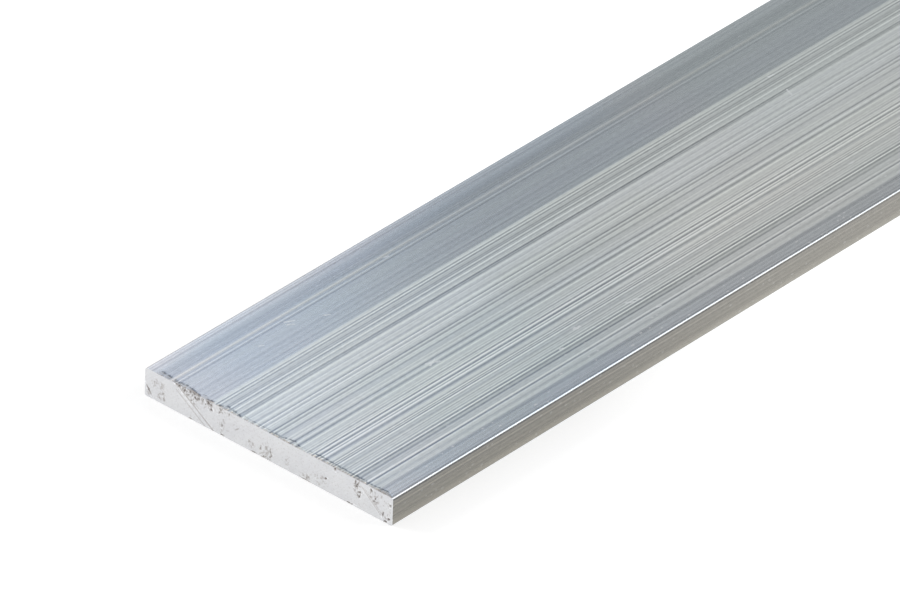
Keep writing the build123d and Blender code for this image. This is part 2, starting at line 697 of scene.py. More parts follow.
@dataclass(frozen=True)
class SawCut:
    """What the saw left on one end of the bar.

    Attributes:
        pits: the torn spots.
        patches: the stretches that are torn all over.
        scratches: the scores of single teeth.
        burrs: where metal is pushed over the upper edge.
        seed: sets this end's fine roughness apart from the other's.
    """

    pits: tuple[Pit, ...]
    patches: tuple[TornPatch, ...]
    scratches: tuple[Scratch, ...]
    burrs: tuple[Burr, ...]
    seed: float

    # The burr's strength and how far in it reaches, in mm.
    MEAN_STRENGTH = 1.05
    FULL_STRENGTH = 1.15
    SWELL = EdgeNoise(per_mm=1.5, amount=1.3, layer=0.0)
    JAGS = EdgeNoise(per_mm=4.6, amount=1.4, layer=4.0)
    REACH_SWELL = EdgeNoise(per_mm=1.6, amount=0.12, layer=2.0)
    REACH_JAGS = EdgeNoise(per_mm=4.2, amount=0.2, layer=6.0)
    LEAST_REACH = 0.05

    # Its wear and painted shade: a dark line along the cut, partly painted shade under the pushed lip,
    # and a worn strip behind that, partly painted shade, with widths in mm.
    WEAR_AND_SHADE_LIMITS = (-0.3, 1.5)
    WEAR_AND_SHADE_SWELL = EdgeNoise(per_mm=1.3, amount=1.0, layer=8.0)
    LINE_WIDTH = 0.13
    LINE_STRENGTH = 1.2
    LINE_MEAN = 0.8
    LINE_SWELL = 1.2
    STRIP_WIDTH = 0.38
    STRIP_STRENGTH = 1.1
    STRIP_SWELL = 0.5
    STRIP_PER_MM = (4.0, 6.0)

    # Depths in mm: of a pit that looks fully hollow, of a patch, and of a rim's rise.
    FULL_PIT = 0.13
    PATCH_DEPTH = 0.1
    RIM_RISE = 0.03
    SCRATCH_DARKNESS = 18.0
    LEAST_HOLLOW = 0.05

    def burr(self, across: float) -> tuple[float, float]:
        """Gives the burr at a place along the upper edge.

        Args:
            across: the place's distance from the left edge, in mm.

        Returns:
            How strong the burr is, from 0 to its full strength, and how far in it reaches, in mm.
        """
        strongest = max(self.burrs, key=lambda burr: burr.shape(across))
        coarse = self.MEAN_STRENGTH + self.SWELL.at(across, self.seed)
        fine = 1.0 + self.JAGS.at(across, self.seed)
        reach = strongest.reach_at(across) + self.REACH_SWELL.at(across, self.seed)
        reach += self.REACH_JAGS.at(across, self.seed)
        strength = clamp(strongest.shape(across) * coarse * fine, 0.0, self.FULL_STRENGTH)
        return strength, max(self.LEAST_REACH, reach)

    def wear_and_shade(self, across: float, inwards: float) -> float:
        """Gives how worn a place by the upper edge is, with the painted shade there.

        Args:
            across: the place's distance from the left edge, in mm.
            inwards: its distance from the cut, in mm.

        Returns:
            The wear and painted shade: below 0 where the colour gets a painted highlight, 1 where it
                is well worn and shaded.
        """
        strongest = max(self.burrs, key=lambda burr: burr.shape(across))
        if strongest.shape(across) <= 0.0:
            return 0.0
        coarse = self.WEAR_AND_SHADE_SWELL.at(across, self.seed)
        along, inward = self.STRIP_PER_MM
        fine = noise.noise(Vector((across * along, inwards * inward, self.seed)))
        line = self.LINE_STRENGTH * strongest.edge * bell(inwards, self.LINE_WIDTH)
        line *= self.LINE_MEAN + self.LINE_SWELL * coarse
        strip = bell(inwards, self.STRIP_WIDTH)
        strip *= self.STRIP_STRENGTH * strongest.wear_and_shade + self.STRIP_SWELL * coarse + fine
        return clamp(line + strip, *self.WEAR_AND_SHADE_LIMITS)

    def tear(self, across: float, up: float) -> tuple[float, float]:
        """Gives what is torn away at a place on the end.

        Args:
            across: the place's distance from the left edge, in mm.
            up: its height, in mm.

        Returns:
            The depth in mm, and how hollow the place looks, from 0 to 1, which sets its painted shade,
            or below 0 on a rim, which gets a painted highlight.
        """
        depth, hollow, rim = 0.0, 0.0, 0.0
        for pit in self.pits:
            share = pit.shape(across, up)
            strength = min(1.0, pit.depth / self.FULL_PIT)
            depth = max(depth, share * pit.depth)
            hollow = max(hollow, share * strength)
            rim = min(rim, share * strength)
        for patch in self.patches:
            share = patch.shape(across, up)
            depth = max(depth, self.PATCH_DEPTH * share)
            hollow = max(hollow, share)
        for scratch in self.scratches:
            share = scratch.shape(across, up)
            strength = min(1.0, self.SCRATCH_DARKNESS * scratch.depth)
            depth += max(0.0, share) * scratch.depth
            hollow = max(hollow, share * strength)
            rim = min(rim, share * strength)
        if hollow < self.LEAST_HOLLOW:
            return depth + self.RIM_RISE * rim, rim
        return depth, min(1.0, hollow)


@dataclass(frozen=True)
class SawRandom:
    """How a cut is drawn at random where its marks aren't named, torn most in one stretch.

    Attributes:
        seed: of the random draws.
        across: the end's width, in mm.
        up: its height, in mm.
        pits: how many pits it has.
        torn_share: the share of them that lie in the torn stretch.
        torn: where that stretch starts and stops, in mm from the left edge.
        patches: how many of its stretches are torn all over.
        scratches: how many scratches it has.
        burrs: how many stretches of burr it has.
    """

    seed: int
    across: float
    up: float
    pits: int = 44
    torn_share: float = 0.55
    torn: Pair = (30.0, 46.0)
    patches: int = 9
    scratches: int = 5
    burrs: int = 9

    def cut(self) -> SawCut:
        """Draws the cut. A faint patch and a faint burr run all over it.

        Returns:
            The cut.
        """
        draw = random.Random(self.seed)
        pits = []
        for _ in range(self.pits):
            torn = draw.random() < self.torn_share
            pit = Pit(
                across=draw.uniform(*self.torn) if torn else draw.uniform(0.5, self.across - 0.5),
                up=self.up - abs(draw.gauss(0.0, 0.8)) if torn else draw.uniform(0.3, self.up - 0.3),
                long=draw.uniform(0.25, 0.75),
                wide=draw.uniform(0.14, 0.35),
                lean=draw.uniform(-60.0, 60.0),
                depth=draw.uniform(0.04, 0.2),
            )
            pits.append(pit)
        patches = [TornPatch(0.5 * self.across, 0.5 * self.up, 0.6 * self.across, 0.8 * self.up, 0.18)]
        for _ in range(self.patches):
            patch = TornPatch(
                across=draw.uniform(1.0, self.across - 1.0),
                up=draw.uniform(0.5, self.up),
                half_across=draw.uniform(0.8, 3.5),
                half_up=draw.uniform(0.7, 1.5),
                strength=draw.uniform(0.4, 0.9),
            )
            patches.append(patch)
        scratches = []
        for _ in range(self.scratches):
            start = draw.uniform(4.0, self.across - 12.0)
            end = start + draw.uniform(3.5, 8.0)
            width, depth = draw.uniform(0.2, 0.34), draw.uniform(0.01, 0.04)
            scratches.append(Scratch((start, self.up), (end, 0.0), width, depth))
        burrs = [Burr(start=0.5, stop=self.across - 0.5, size=0.3)]
        for _ in range(self.burrs):
            start = draw.uniform(0.5, self.across - 4.5)
            burr = Burr(
                start=start,
                stop=start + draw.uniform(0.8, 4.0),
                size=draw.uniform(0.4, 1.0),
                reach=(draw.uniform(0.2, 0.9), draw.uniform(0.2, 0.9)),
                wear_and_shade=draw.uniform(0.2, 0.7),
                edge=draw.uniform(0.3, 1.0),
            )
            burrs.append(burr)
        return SawCut(tuple(pits), tuple(patches), tuple(scratches), tuple(burrs), float(self.seed))


# ---- The bar's mesh ----


@dataclass(frozen=True)
class BakeLayout:
    """Where each part of the surface lies in the baked pictures, which are a unit square.

    Attributes:
        sizes: the bar's sizes.
        edge: the empty margin round the square.
        strip_top: how far up the long faces' strip reaches.
        end_foot: where the ends' row starts.
        gap: between the two ends.
    """

    sizes: BarSizes
    edge: float = 0.008
    strip_top: float = 0.92
    end_foot: float = 0.94
    gap: float = 0.016

    @property
    def girth(self) -> float:
        """The length round the section."""
        spared = (8.0 - 2.0 * math.pi) * self.sizes.corner_radius
        return 2.0 * (self.sizes.width + self.sizes.thickness) - spared

    def round_the_section(self, middle: Vector, point: Vector) -> float:
        """Gives how far round the section a point lies, from the left of the underside.

        Args:
            middle: the middle of the point's face, which says which stretch it is on.
            point: the point.

        Returns:
            The distance, in metres.
        """
        radius = self.sizes.corner_radius
        flat_x = 0.5 * self.sizes.width - radius
        low, high = radius, self.sizes.thickness - radius
        wide, tall = 2.0 * flat_x, high - low
        quarter = 0.5 * math.pi * radius
        right = middle.x > flat_x
        left = middle.x < -flat_x
        if not right and not left:
            under = middle.z < 0.5 * self.sizes.thickness
            return point.x + flat_x if under else wide + 2 * quarter + tall + (flat_x - point.x)
        start = wide if right else 2 * wide + 2 * quarter + tall
        if low < middle.z < high:
            return start + quarter + (point.z - low if right else high - point.z)
        upper = middle.z > high
        centre_x = math.copysign(flat_x, middle.x)
        centre_z = high if upper else low
        out = abs(point.x - centre_x)
        off = abs(point.z - centre_z)
        swept = math.atan2(off, out) * radius
        if right:
            return start + (quarter + tall + swept if upper else quarter - swept)
        return start + (quarter - swept if upper else quarter + tall + swept)

    def on_strip(self, middle: Vector, point: Vector) -> Pair:
        """Gives the place in the picture of a point on the long faces.

        Args:
            middle: the middle of the point's face.
            point: the point.

        Returns:
            The place, across and up the picture.
        """
        share = self.round_the_section(middle, point) / self.girth
        along = 0.5 + point.y / self.sizes.length
        return (
            self.edge + (1.0 - 2.0 * self.edge) * share,
            self.edge + (self.strip_top - self.edge) * along,
        )

    def on_end(self, side: Side, point: Vector) -> Pair:
        """Gives the place in the picture of a point on an end.

        Args:
            side: the end.
            point: the point.

        Returns:
            The place, across and up the picture.
        """
        half = 0.5 * (1.0 - 2.0 * self.edge - self.gap)
        start = self.edge if side is Side.NEAR_END else self.edge + half + self.gap
        share = 0.5 + point.x / self.sizes.width
        scale = half / self.sizes.width
        return start + half * share, self.end_foot + point.z * scale


@dataclass
class Shaping:
    """What the relief does at one point.

    Attributes:
        move: how the point moves.
        tone: its line tone.
        hollow: how hollow it looks, which sets painted shade in hollows and, below 0, a painted
            highlight.
        crease_shade: the painted shade in the crease behind the pushed metal and just behind that,
            from 0 to 1.
    """

    move: Vector
    tone: float = 0.0
    hollow: float = 0.0
    crease_shade: float = 0.0


def new_object(name: str, mesh: BMesh) -> bpy.types.Object:
    """Makes an object of a mesh and puts it in the scene, at the origin.

    Args:
        name: the object's name.
        mesh: its mesh, which is used up.

    Returns:
        The object.
    """
    data = bpy.data.meshes.new(name)
    mesh.to_mesh(data)
    mesh.free()
    made = bpy.data.objects.new(name, data)
    bpy.context.scene.collection.objects.link(made)
    return made


@dataclass
class FlatBar:
    """The bar as one closed mesh.

    Attributes:
        sizes: its outer sizes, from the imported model.
        lines: the die lines of each long face.
        cuts: what the saw left on each end.
        corner_steps: flat strips in each rounded corner.
        across_step: the grid's spacing across the wide faces.
        up_step: its spacing up the thickness.
        lip_row: how far the grid's highest row lies below the upper face.
        edge_rows: where the grid is cut beside each end, as distances from it.
        snap: a point closer than this to a cutting plane counts as on it.
        line_depth: the depth of a die line of full tone and full width.
        wide_line: the width of a line that reaches that depth, in mm.
        tone_limits: the darkest and the brightest tone where lines add up.
        profiles: the profiles of the lines so far, by face and place.
    """

    sizes: BarSizes
    lines: dict[Side, tuple[DieLine, ...]]
    cuts: dict[Side, SawCut]
    corner_steps: int = 8
    across_step: float = 0.1 * MM
    up_step: float = 0.125 * MM
    lip_row: float = 0.04 * MM
    edge_rows: tuple[float, ...] = tuple(
        row * MM
        for row in (0.08, 0.17, 0.27, 0.37, 0.47, 0.57, 0.67, 0.77, 0.88, 0.99)
        + (1.1, 1.25, 1.5, 2.0, 8.0, 30.0, 90.0)
    )
    snap: float = 0.004 * MM
    line_depth: float = 0.012 * MM
    wide_line: float = 0.5
    tone_limits: Pair = (-1.7, 1.0)
    profiles: dict[Side, dict[int, Pair]] = field(default_factory=dict)

    # The metal pushed over a cut's upper edge, in mm: how far in from the cut it is worked out,
    # its lip, the crease behind that, and the painted shade in the crease and just behind it.
    BURR_SPAN = 1.9
    LIP_HEIGHT = 0.04
    LIP_ON_END = 0.07
    CREASE_DEPTH = 0.03
    CREASE_WIDTH = 0.15
    SHADE_WIDTH = 0.45
    SHADE_SHARE = 0.3

    # How much of its wear and painted shade shows on the upper face and on the end, and the end's fine
    # roughness.
    TOP_WEAR_AND_SHADE = 0.4
    END_WEAR_AND_SHADE = 0.2
    END_GRAIN = 0.006
    END_GRAIN_PER_MM = 3.0

    def blank(self) -> BMesh:
        """Makes the box with its four long edges rounded, standing on the floor.

        Returns:
            The mesh.
        """
        mesh = bmesh.new()
        bmesh.ops.create_cube(mesh, size=1.0)
        size = (self.sizes.width, self.sizes.length, self.sizes.thickness)
        bmesh.ops.scale(mesh, vec=size, verts=mesh.verts)
        bmesh.ops.translate(mesh, vec=(0.0, 0.0, 0.5 * self.sizes.thickness), verts=mesh.verts)
        long_edges = [
            edge
            for edge in mesh.edges
            if abs(edge.verts[0].co.y - edge.verts[1].co.y) > 0.5 * self.sizes.length
        ]
        bmesh.ops.bevel(
            mesh,
            geom=long_edges,
            offset=self.sizes.corner_radius,
            offset_type="OFFSET",
            affect="EDGES",
            segments=self.corner_steps,
            profile=0.5,
            material=-1,
        )
        return mesh

    def saw_through(self, mesh: BMesh, axis: int, places: Iterable[float]) -> None:
        """Cuts the mesh by planes, so that new rows of points run round it.

        Args:
            mesh: the mesh to cut.
            axis: 0, 1 or 2, the axis that the planes cross.
            places: where they cross it, in metres.
        """
        normal = Vector((0.0, 0.0, 0.0))
        normal[axis] = 1.0
        for place in places:
            bmesh.ops.bisect_plane(
                mesh,
                geom=mesh.verts[:] + mesh.edges[:] + mesh.faces[:],
                dist=self.snap,
                plane_co=normal * place,
                plane_no=normal,
            )

    def grid(self, mesh: BMesh) -> None:
        """Cuts the blank into the grid that its relief needs.

        Args:
            mesh: the blank.
        """
        columns = round(self.sizes.width / self.across_step)
        left = -0.5 * self.sizes.width
        self.saw_through(mesh, 0, (left + i * self.across_step for i in range(1, columns)))
        rows = round(self.sizes.thickness / self.up_step)
        self.saw_through(mesh, 2, (i * self.up_step for i in range(1, rows)))
        self.saw_through(mesh, 2, (self.sizes.thickness - self.lip_row,))
        near = -0.5 * self.sizes.length
        self.saw_through(mesh, 1, (near + row for row in self.edge_rows))
        self.saw_through(mesh, 1, (-near - row for row in self.edge_rows))

    @staticmethod
    def side_of(face: BMFace) -> Side | None:
        """Names the flat face that a face of the mesh belongs to.

        Args:
            face: the mesh's face.

        Returns:
            The flat face, or None in a rounded corner.
        """
        flat = 0.9999
        for side, outward in OUTWARD.items():
            if face.normal.dot(outward) > flat:
                return side
        return None

    def line_profile(self, side: Side, across: float) -> Pair:
        """Adds up a face's die lines at a place across it.

        Args:
            side: the face.
            across: the distance from its left or lower edge, in mm.

        Returns:
            The relief, in metres, and the tone.
        """
        known = self.profiles.setdefault(side, {})
        micrometres = round(across * 1000.0)
        if micrometres not in known:
            tone, relief = 0.0, 0.0
            for line in self.lines[side]:
                share = line.shape(across) * line.tone
                tone += share
                relief += share * min(1.0, line.width / self.wide_line)
            known[micrometres] = (self.line_depth * relief, clamp(tone, *self.tone_limits))
        return known[micrometres]

    def relief(self, mesh: BMesh) -> None:
        """Moves the grid's points into the die lines and the saw's marks, and notes both, with the
        painted shade of hollows and creases.

        Args:
            mesh: the grid.
        """
        tone_layer = mesh.verts.layers.float.new(LINE_TONE)
        hollow_layer = mesh.verts.layers.float.new(HOLLOW)
        crease_shade_layer = mesh.verts.layers.float.new(CREASE_SHADE)
        mesh.normal_update()
        sides = {face: self.side_of(face) for face in mesh.faces}
        moves: dict[BMVert, Vector] = {}
        for vert in mesh.verts:
            touched = {sides[face] for face in vert.link_faces} - {None}
            move = Vector((0.0, 0.0, 0.0))
            for side in touched:
                if side in ENDS:
                    shaping = self.end_relief(side, vert.co)
                else:
                    shaping = self.long_relief(side, vert.co)
                    vert[tone_layer] = shaping.tone
                move += shaping.move
                vert[hollow_layer] = max(vert[hollow_layer], shaping.hollow, key=abs)
                vert[crease_shade_layer] = max(vert[crease_shade_layer], shaping.crease_shade)
            if not touched:
                vert[tone_layer] = self.corner_tone(vert.co, vert.normal)
            moves[vert] = move
        for vert, move in moves.items():
            vert.co += move

    def corner_tone(self, place: Vector, normal: Vector) -> float:
        """Gives the line tone in a rounded corner, from the flat face that it leans to.

        Args:
            place: the point, in metres.
            normal: the surface's direction there.

        Returns:
            The tone.
        """
        if abs(normal.x) > abs(normal.z):
            side = Side.RIGHT if place.x > 0.0 else Side.LEFT
            return self.line_profile(side, place.z / MM)[1]
        side = Side.TOP if normal.z > 0.0 else Side.UNDERSIDE
        return self.line_profile(side, self.sizes.across(place))[1]

    def long_relief(self, side: Side, place: Vector) -> Shaping:
        """Gives the relief of a long face at a point: die lines, and the burr by the ends.

        Args:
            side: the face.
            place: the point, in metres.

        Returns:
            The shaping.
        """
        wide = side in (Side.TOP, Side.UNDERSIDE)
        across = self.sizes.across(place) if wide else place.z / MM
        depth, tone = self.line_profile(side, across)
        shaping = Shaping(OUTWARD[side] * depth, tone)
        if side is Side.TOP:
            self.push_over(shaping, place)
        return shaping

    def push_over(self, shaping: Shaping, place: Vector) -> None:
        """Adds the burr to the upper face's relief where a cut is near, with the painted shade of its
        crease and the wear and painted shade of the strip behind it.

        Args:
            shaping: the relief at the point, which is changed.
            place: the point, in metres.
        """
        inwards = (0.5 * self.sizes.length - abs(place.y)) / MM
        if inwards >= self.BURR_SPAN:
            return
        cut = self.cuts[Side.NEAR_END if place.y < 0.0 else Side.FAR_END]
        across = self.sizes.across(place)
        burr, reach = cut.burr(across)
        past = inwards - reach
        lip = max(0.0, 1.0 - inwards / reach)
        crease = bell(past, self.CREASE_WIDTH)
        shade = self.SHADE_SHARE * bell(past, self.SHADE_WIDTH) if past > 0.0 else 0.0
        rise = self.LIP_HEIGHT * lip - self.CREASE_DEPTH * crease
        shaping.move += OUTWARD[Side.TOP] * MM * burr * rise
        shaping.hollow = self.TOP_WEAR_AND_SHADE * cut.wear_and_shade(across, inwards)
        shaping.crease_shade = burr * max(crease, shade)

    def end_relief(self, side: Side, place: Vector) -> Shaping:
        """Gives the relief of a cut end at a point: tears, scratches and the burr's lip, with how
        hollow each looks for its painted shade.

        Args:
            side: the end.
            place: the point, in metres.

        Returns:
            The shaping.
        """
        cut = self.cuts[side]
        across, up = self.sizes.across(place), place.z / MM
        depth, hollow = cut.tear(across, up)
        lip = bell(self.sizes.thickness / MM - up, self.LIP_ON_END)
        grain = self.END_GRAIN * unevenness(across, up, self.END_GRAIN_PER_MM, cut.seed)
        push = self.LIP_HEIGHT * cut.burr(across)[0] * lip + grain - depth
        hollow = max(hollow, self.END_WEAR_AND_SHADE * cut.wear_and_shade(across, 0.0) * lip, key=abs)
        return Shaping(OUTWARD[side] * (push * MM), hollow=hollow)

    def unwrap(self, mesh: BMesh) -> None:
        """Lays the surface out flat for the baked pictures.

        The four long faces unroll into one strip, with its length squeezed, because the
        lines run along it. The two ends lie beside each other over the strip.

        Args:
            mesh: the grid.
        """
        layer = mesh.loops.layers.uv.new(BAKE_MAP)
        layout = BakeLayout(self.sizes)
        for face in mesh.faces:
            side = self.side_of(face)
            middle = face.calc_center_median()
            for loop in face.loops:
                if side in ENDS:
                    loop[layer].uv = layout.on_end(side, loop.vert.co)
                else:
                    loop[layer].uv = layout.on_strip(middle, loop.vert.co)

    def sort_faces(self, mesh: BMesh) -> None:
        """Gives the ends their own material, and keeps the cut edges sharp.

        Args:
            mesh: the grid.
        """
        for face in mesh.faces:
            face.smooth = True
            face.material_index = 1 if self.side_of(face) in ENDS else 0
        for edge in mesh.edges:
            kinds = {face.material_index for face in edge.link_faces}
            edge.smooth = len(kinds) == 1

    def build(self, materials: Sequence[bpy.types.Material]) -> bpy.types.Object:
        """Makes the bar's object.

        Args:
            materials: the finish of the long faces, then that of the ends.

        Returns:
            The object, at the origin.
        """
        mesh = self.blank()
        self.grid(mesh)
        mesh.normal_update()
        self.unwrap(mesh)
        self.sort_faces(mesh)
        self.relief(mesh)
        mesh.normal_update()
        bar = new_object(PIECE, mesh)
        for material in materials:
            bar.data.materials.append(material)
        return bar


# ---- Shader graphs ----

Socket = bpy.types.NodeSocket
Input = float | Sequence[float] | Socket
MEASURES = ("DOT_PRODUCT", "DISTANCE", "LENGTH")
PORT_KINDS = {3: "Vector", 4: "Color"}
ORIGIN: Triple = (0.0, 0.0, 0.0)


class Graph:
    """A node tree that is being written, with short calls for its commonest nodes."""

    def __init__(self, tree: bpy.types.NodeTree) -> None:
        """Takes the tree to write into."""
        self.tree = tree

    @classmethod
    def emptied(cls, owner: bpy.types.Material | bpy.types.World) -> "Graph":
        """Turns on the nodes of a material or a world, and clears them.

        Args:
            owner: the material or world.

        Returns:
            Its graph.
        """
        owner.use_nodes = True
        owner.node_tree.nodes.clear()
        return cls(owner.node_tree)

    def add(
        self, kind: str, inputs: dict[str, Input] | None = None, **settings: object
    ) -> bpy.types.Node:
        """Adds a node, sets its properties and feeds its inputs.

        Args:
            kind: the node's type.
            inputs: what feeds its inputs, by name.
            settings: the properties, by name.

        Returns:
            The node.
        """
        node = self.tree.nodes.new(kind)
        for name, value in settings.items():
            setattr(node, name, value)
        for name, value in (inputs or {}).items():
            self.feed(node.inputs[name], value)
        return node

    def feed(self, socket: Socket, value: Input) -> None:
        """Links a socket to another one, or gives it a constant.

        Args:
            socket: the socket.
            value: the other socket or the constant.
        """
        if isinstance(value, Socket):
            self.tree.links.new(value, socket)
        else:
            socket.default_value = value

    def feed_all(self, node: bpy.types.Node, values: Iterable[Input]) -> None:
        """Feeds a node's inputs in order, from the first one on."""
        for socket, value in zip(node.inputs, values):
            self.feed(socket, value)

    def math(self, operation: str, *values: Input) -> Socket:
        """Adds a Math node.

        Args:
            operation: what it does.
            values: what feeds its inputs, in order.

        Returns:
            The result's socket.
        """
        node = self.add("ShaderNodeMath", operation=operation)
        self.feed_all(node, values)
        return node.outputs[0]

    def vector(self, operation: str, *values: Input, **named: Input) -> Socket:
        """Adds a Vector Math node.

        Args:
            operation: what it does.
            values: what feeds its vectors, in order.
            named: what feeds its other inputs, by name.

        Returns:
            The result's socket, which is a value where the operation measures something.
        """
        node = self.add("ShaderNodeVectorMath", named, operation=operation)
        self.feed_all(node, values)
        return node.outputs["Value" if operation in MEASURES else "Vector"]

    def ramp(
        self,
        value: Input,
        start: float,
        stop: float,
        low: Input = 0.0,
        high: Input = 1.0,
        smooth: bool = True,
    ) -> Socket:
        """Maps a range of values to another one, and holds it beyond its ends.

        Args:
            value: what is mapped.
            start: the value that gives low.
            stop: the value that gives high.
            low: the result at start.
            high: the result at stop.
            smooth: eases both ends of the range.

        Returns:
            The result's socket.
        """
        inputs = {"Value": value, "From Min": start, "From Max": stop, "To Min": low, "To Max": high}
        kind = "SMOOTHSTEP" if smooth else "LINEAR"
        node = self.add("ShaderNodeMapRange", inputs, interpolation_type=kind, clamp=True)
        return node.outputs["Result"]

    def mix(self, share: Input, first: Input, second: Input, way: str = "MIX") -> Socket:
        """Mixes two colours.

        Args:
            share: of the second colour, from 0 to 1.
            first: the first colour.
            second: the second colour.
            way: the blend type.

        Returns:
            The mixed colour's socket.
        """
        node = self.add("ShaderNodeMix", data_type="RGBA", blend_type=way)
        colours = [socket for socket in node.inputs if socket.type == "RGBA"]
        self.feed(node.inputs["Factor"], share)
        self.feed(colours[0], first)
        self.feed(colours[1], second)
        return next(socket for socket in node.outputs if socket.type == "RGBA")

    def tinted(self, colour: Input, tint: Input) -> Socket:
        """Multiplies a colour by a tint."""
        return self.mix(1.0, colour, tint, "MULTIPLY")

    def colour(self, *channels: Input) -> Socket:
        """Makes a colour of its red, green and blue."""
        inputs = dict(zip(("Red", "Green", "Blue"), channels))
        return self.add("ShaderNodeCombineColor", inputs).outputs["Color"]

    def axes(self, vector: Input) -> bpy.types.NodeOutputs:
        """Splits a vector into its X, Y and Z."""
        return self.add("ShaderNodeSeparateXYZ", {"Vector": vector}).outputs

    def attribute(self, name: str) -> Socket:
        """Reads an attribute of the mesh."""
        return self.add("ShaderNodeAttribute", attribute_name=name).outputs["Fac"]

    def object_place(self) -> Socket:
        """Gives the place on the object, in metres."""
        return self.add("ShaderNodeTexCoord").outputs["Object"]

    def cloud(
        self, vector: Input, detail: Input, scale: float = 1.0, roughness: float = 0.5
    ) -> Socket:
        """Adds smooth noise, mostly from 0.25 to 0.75. The detail counts the finer noises in it."""
        inputs = {"Vector": vector, "Scale": scale, "Detail": detail, "Roughness": roughness}
        return self.add("ShaderNodeTexNoise", inputs, noise_dimensions="3D").outputs["Fac"]

    def place(self, group: bpy.types.NodeTree, inputs: dict[str, Input]) -> bpy.types.NodeOutputs:
        """Places a node group, and gives its outputs."""
        return self.add("ShaderNodeGroup", inputs, node_tree=group).outputs

    def bump(self, height: Input, strength: float, depth: float) -> Socket:
        """Turns a height into a bumpy surface. The depth is what 1 stands for, in metres."""
        inputs = {"Strength": strength, "Distance": depth, "Height": height}
        return self.add("ShaderNodeBump", inputs).outputs["Normal"]


def new_effect(
    name: str, inputs: dict[str, Input], outputs: dict[str, Input]
) -> tuple[Graph, bpy.types.NodeOutputs, bpy.types.NodeInputs]:
    """Starts a node group.

    Args:
        name: the group's name.
        inputs: its inputs and their plain values: a number, a vector of 3 or a colour of 4.
        outputs: its outputs, in the same way.

    Returns:
        The graph to write, what it is given, and what it has to feed.
    """
    tree = bpy.data.node_groups.new(name, "ShaderNodeTree")
    for ports, way in ((inputs, "INPUT"), (outputs, "OUTPUT")):
        for port, value in ports.items():
            kind = "Float" if isinstance(value, float) else PORT_KINDS[len(value)]
            socket_type = f"NodeSocket{kind}"
            socket = tree.interface.new_socket(name=port, in_out=way, socket_type=socket_type)
            socket.default_value = value
    graph = Graph(tree)
    return graph, graph.add("NodeGroupInput").outputs, graph.add("NodeGroupOutput").inputs


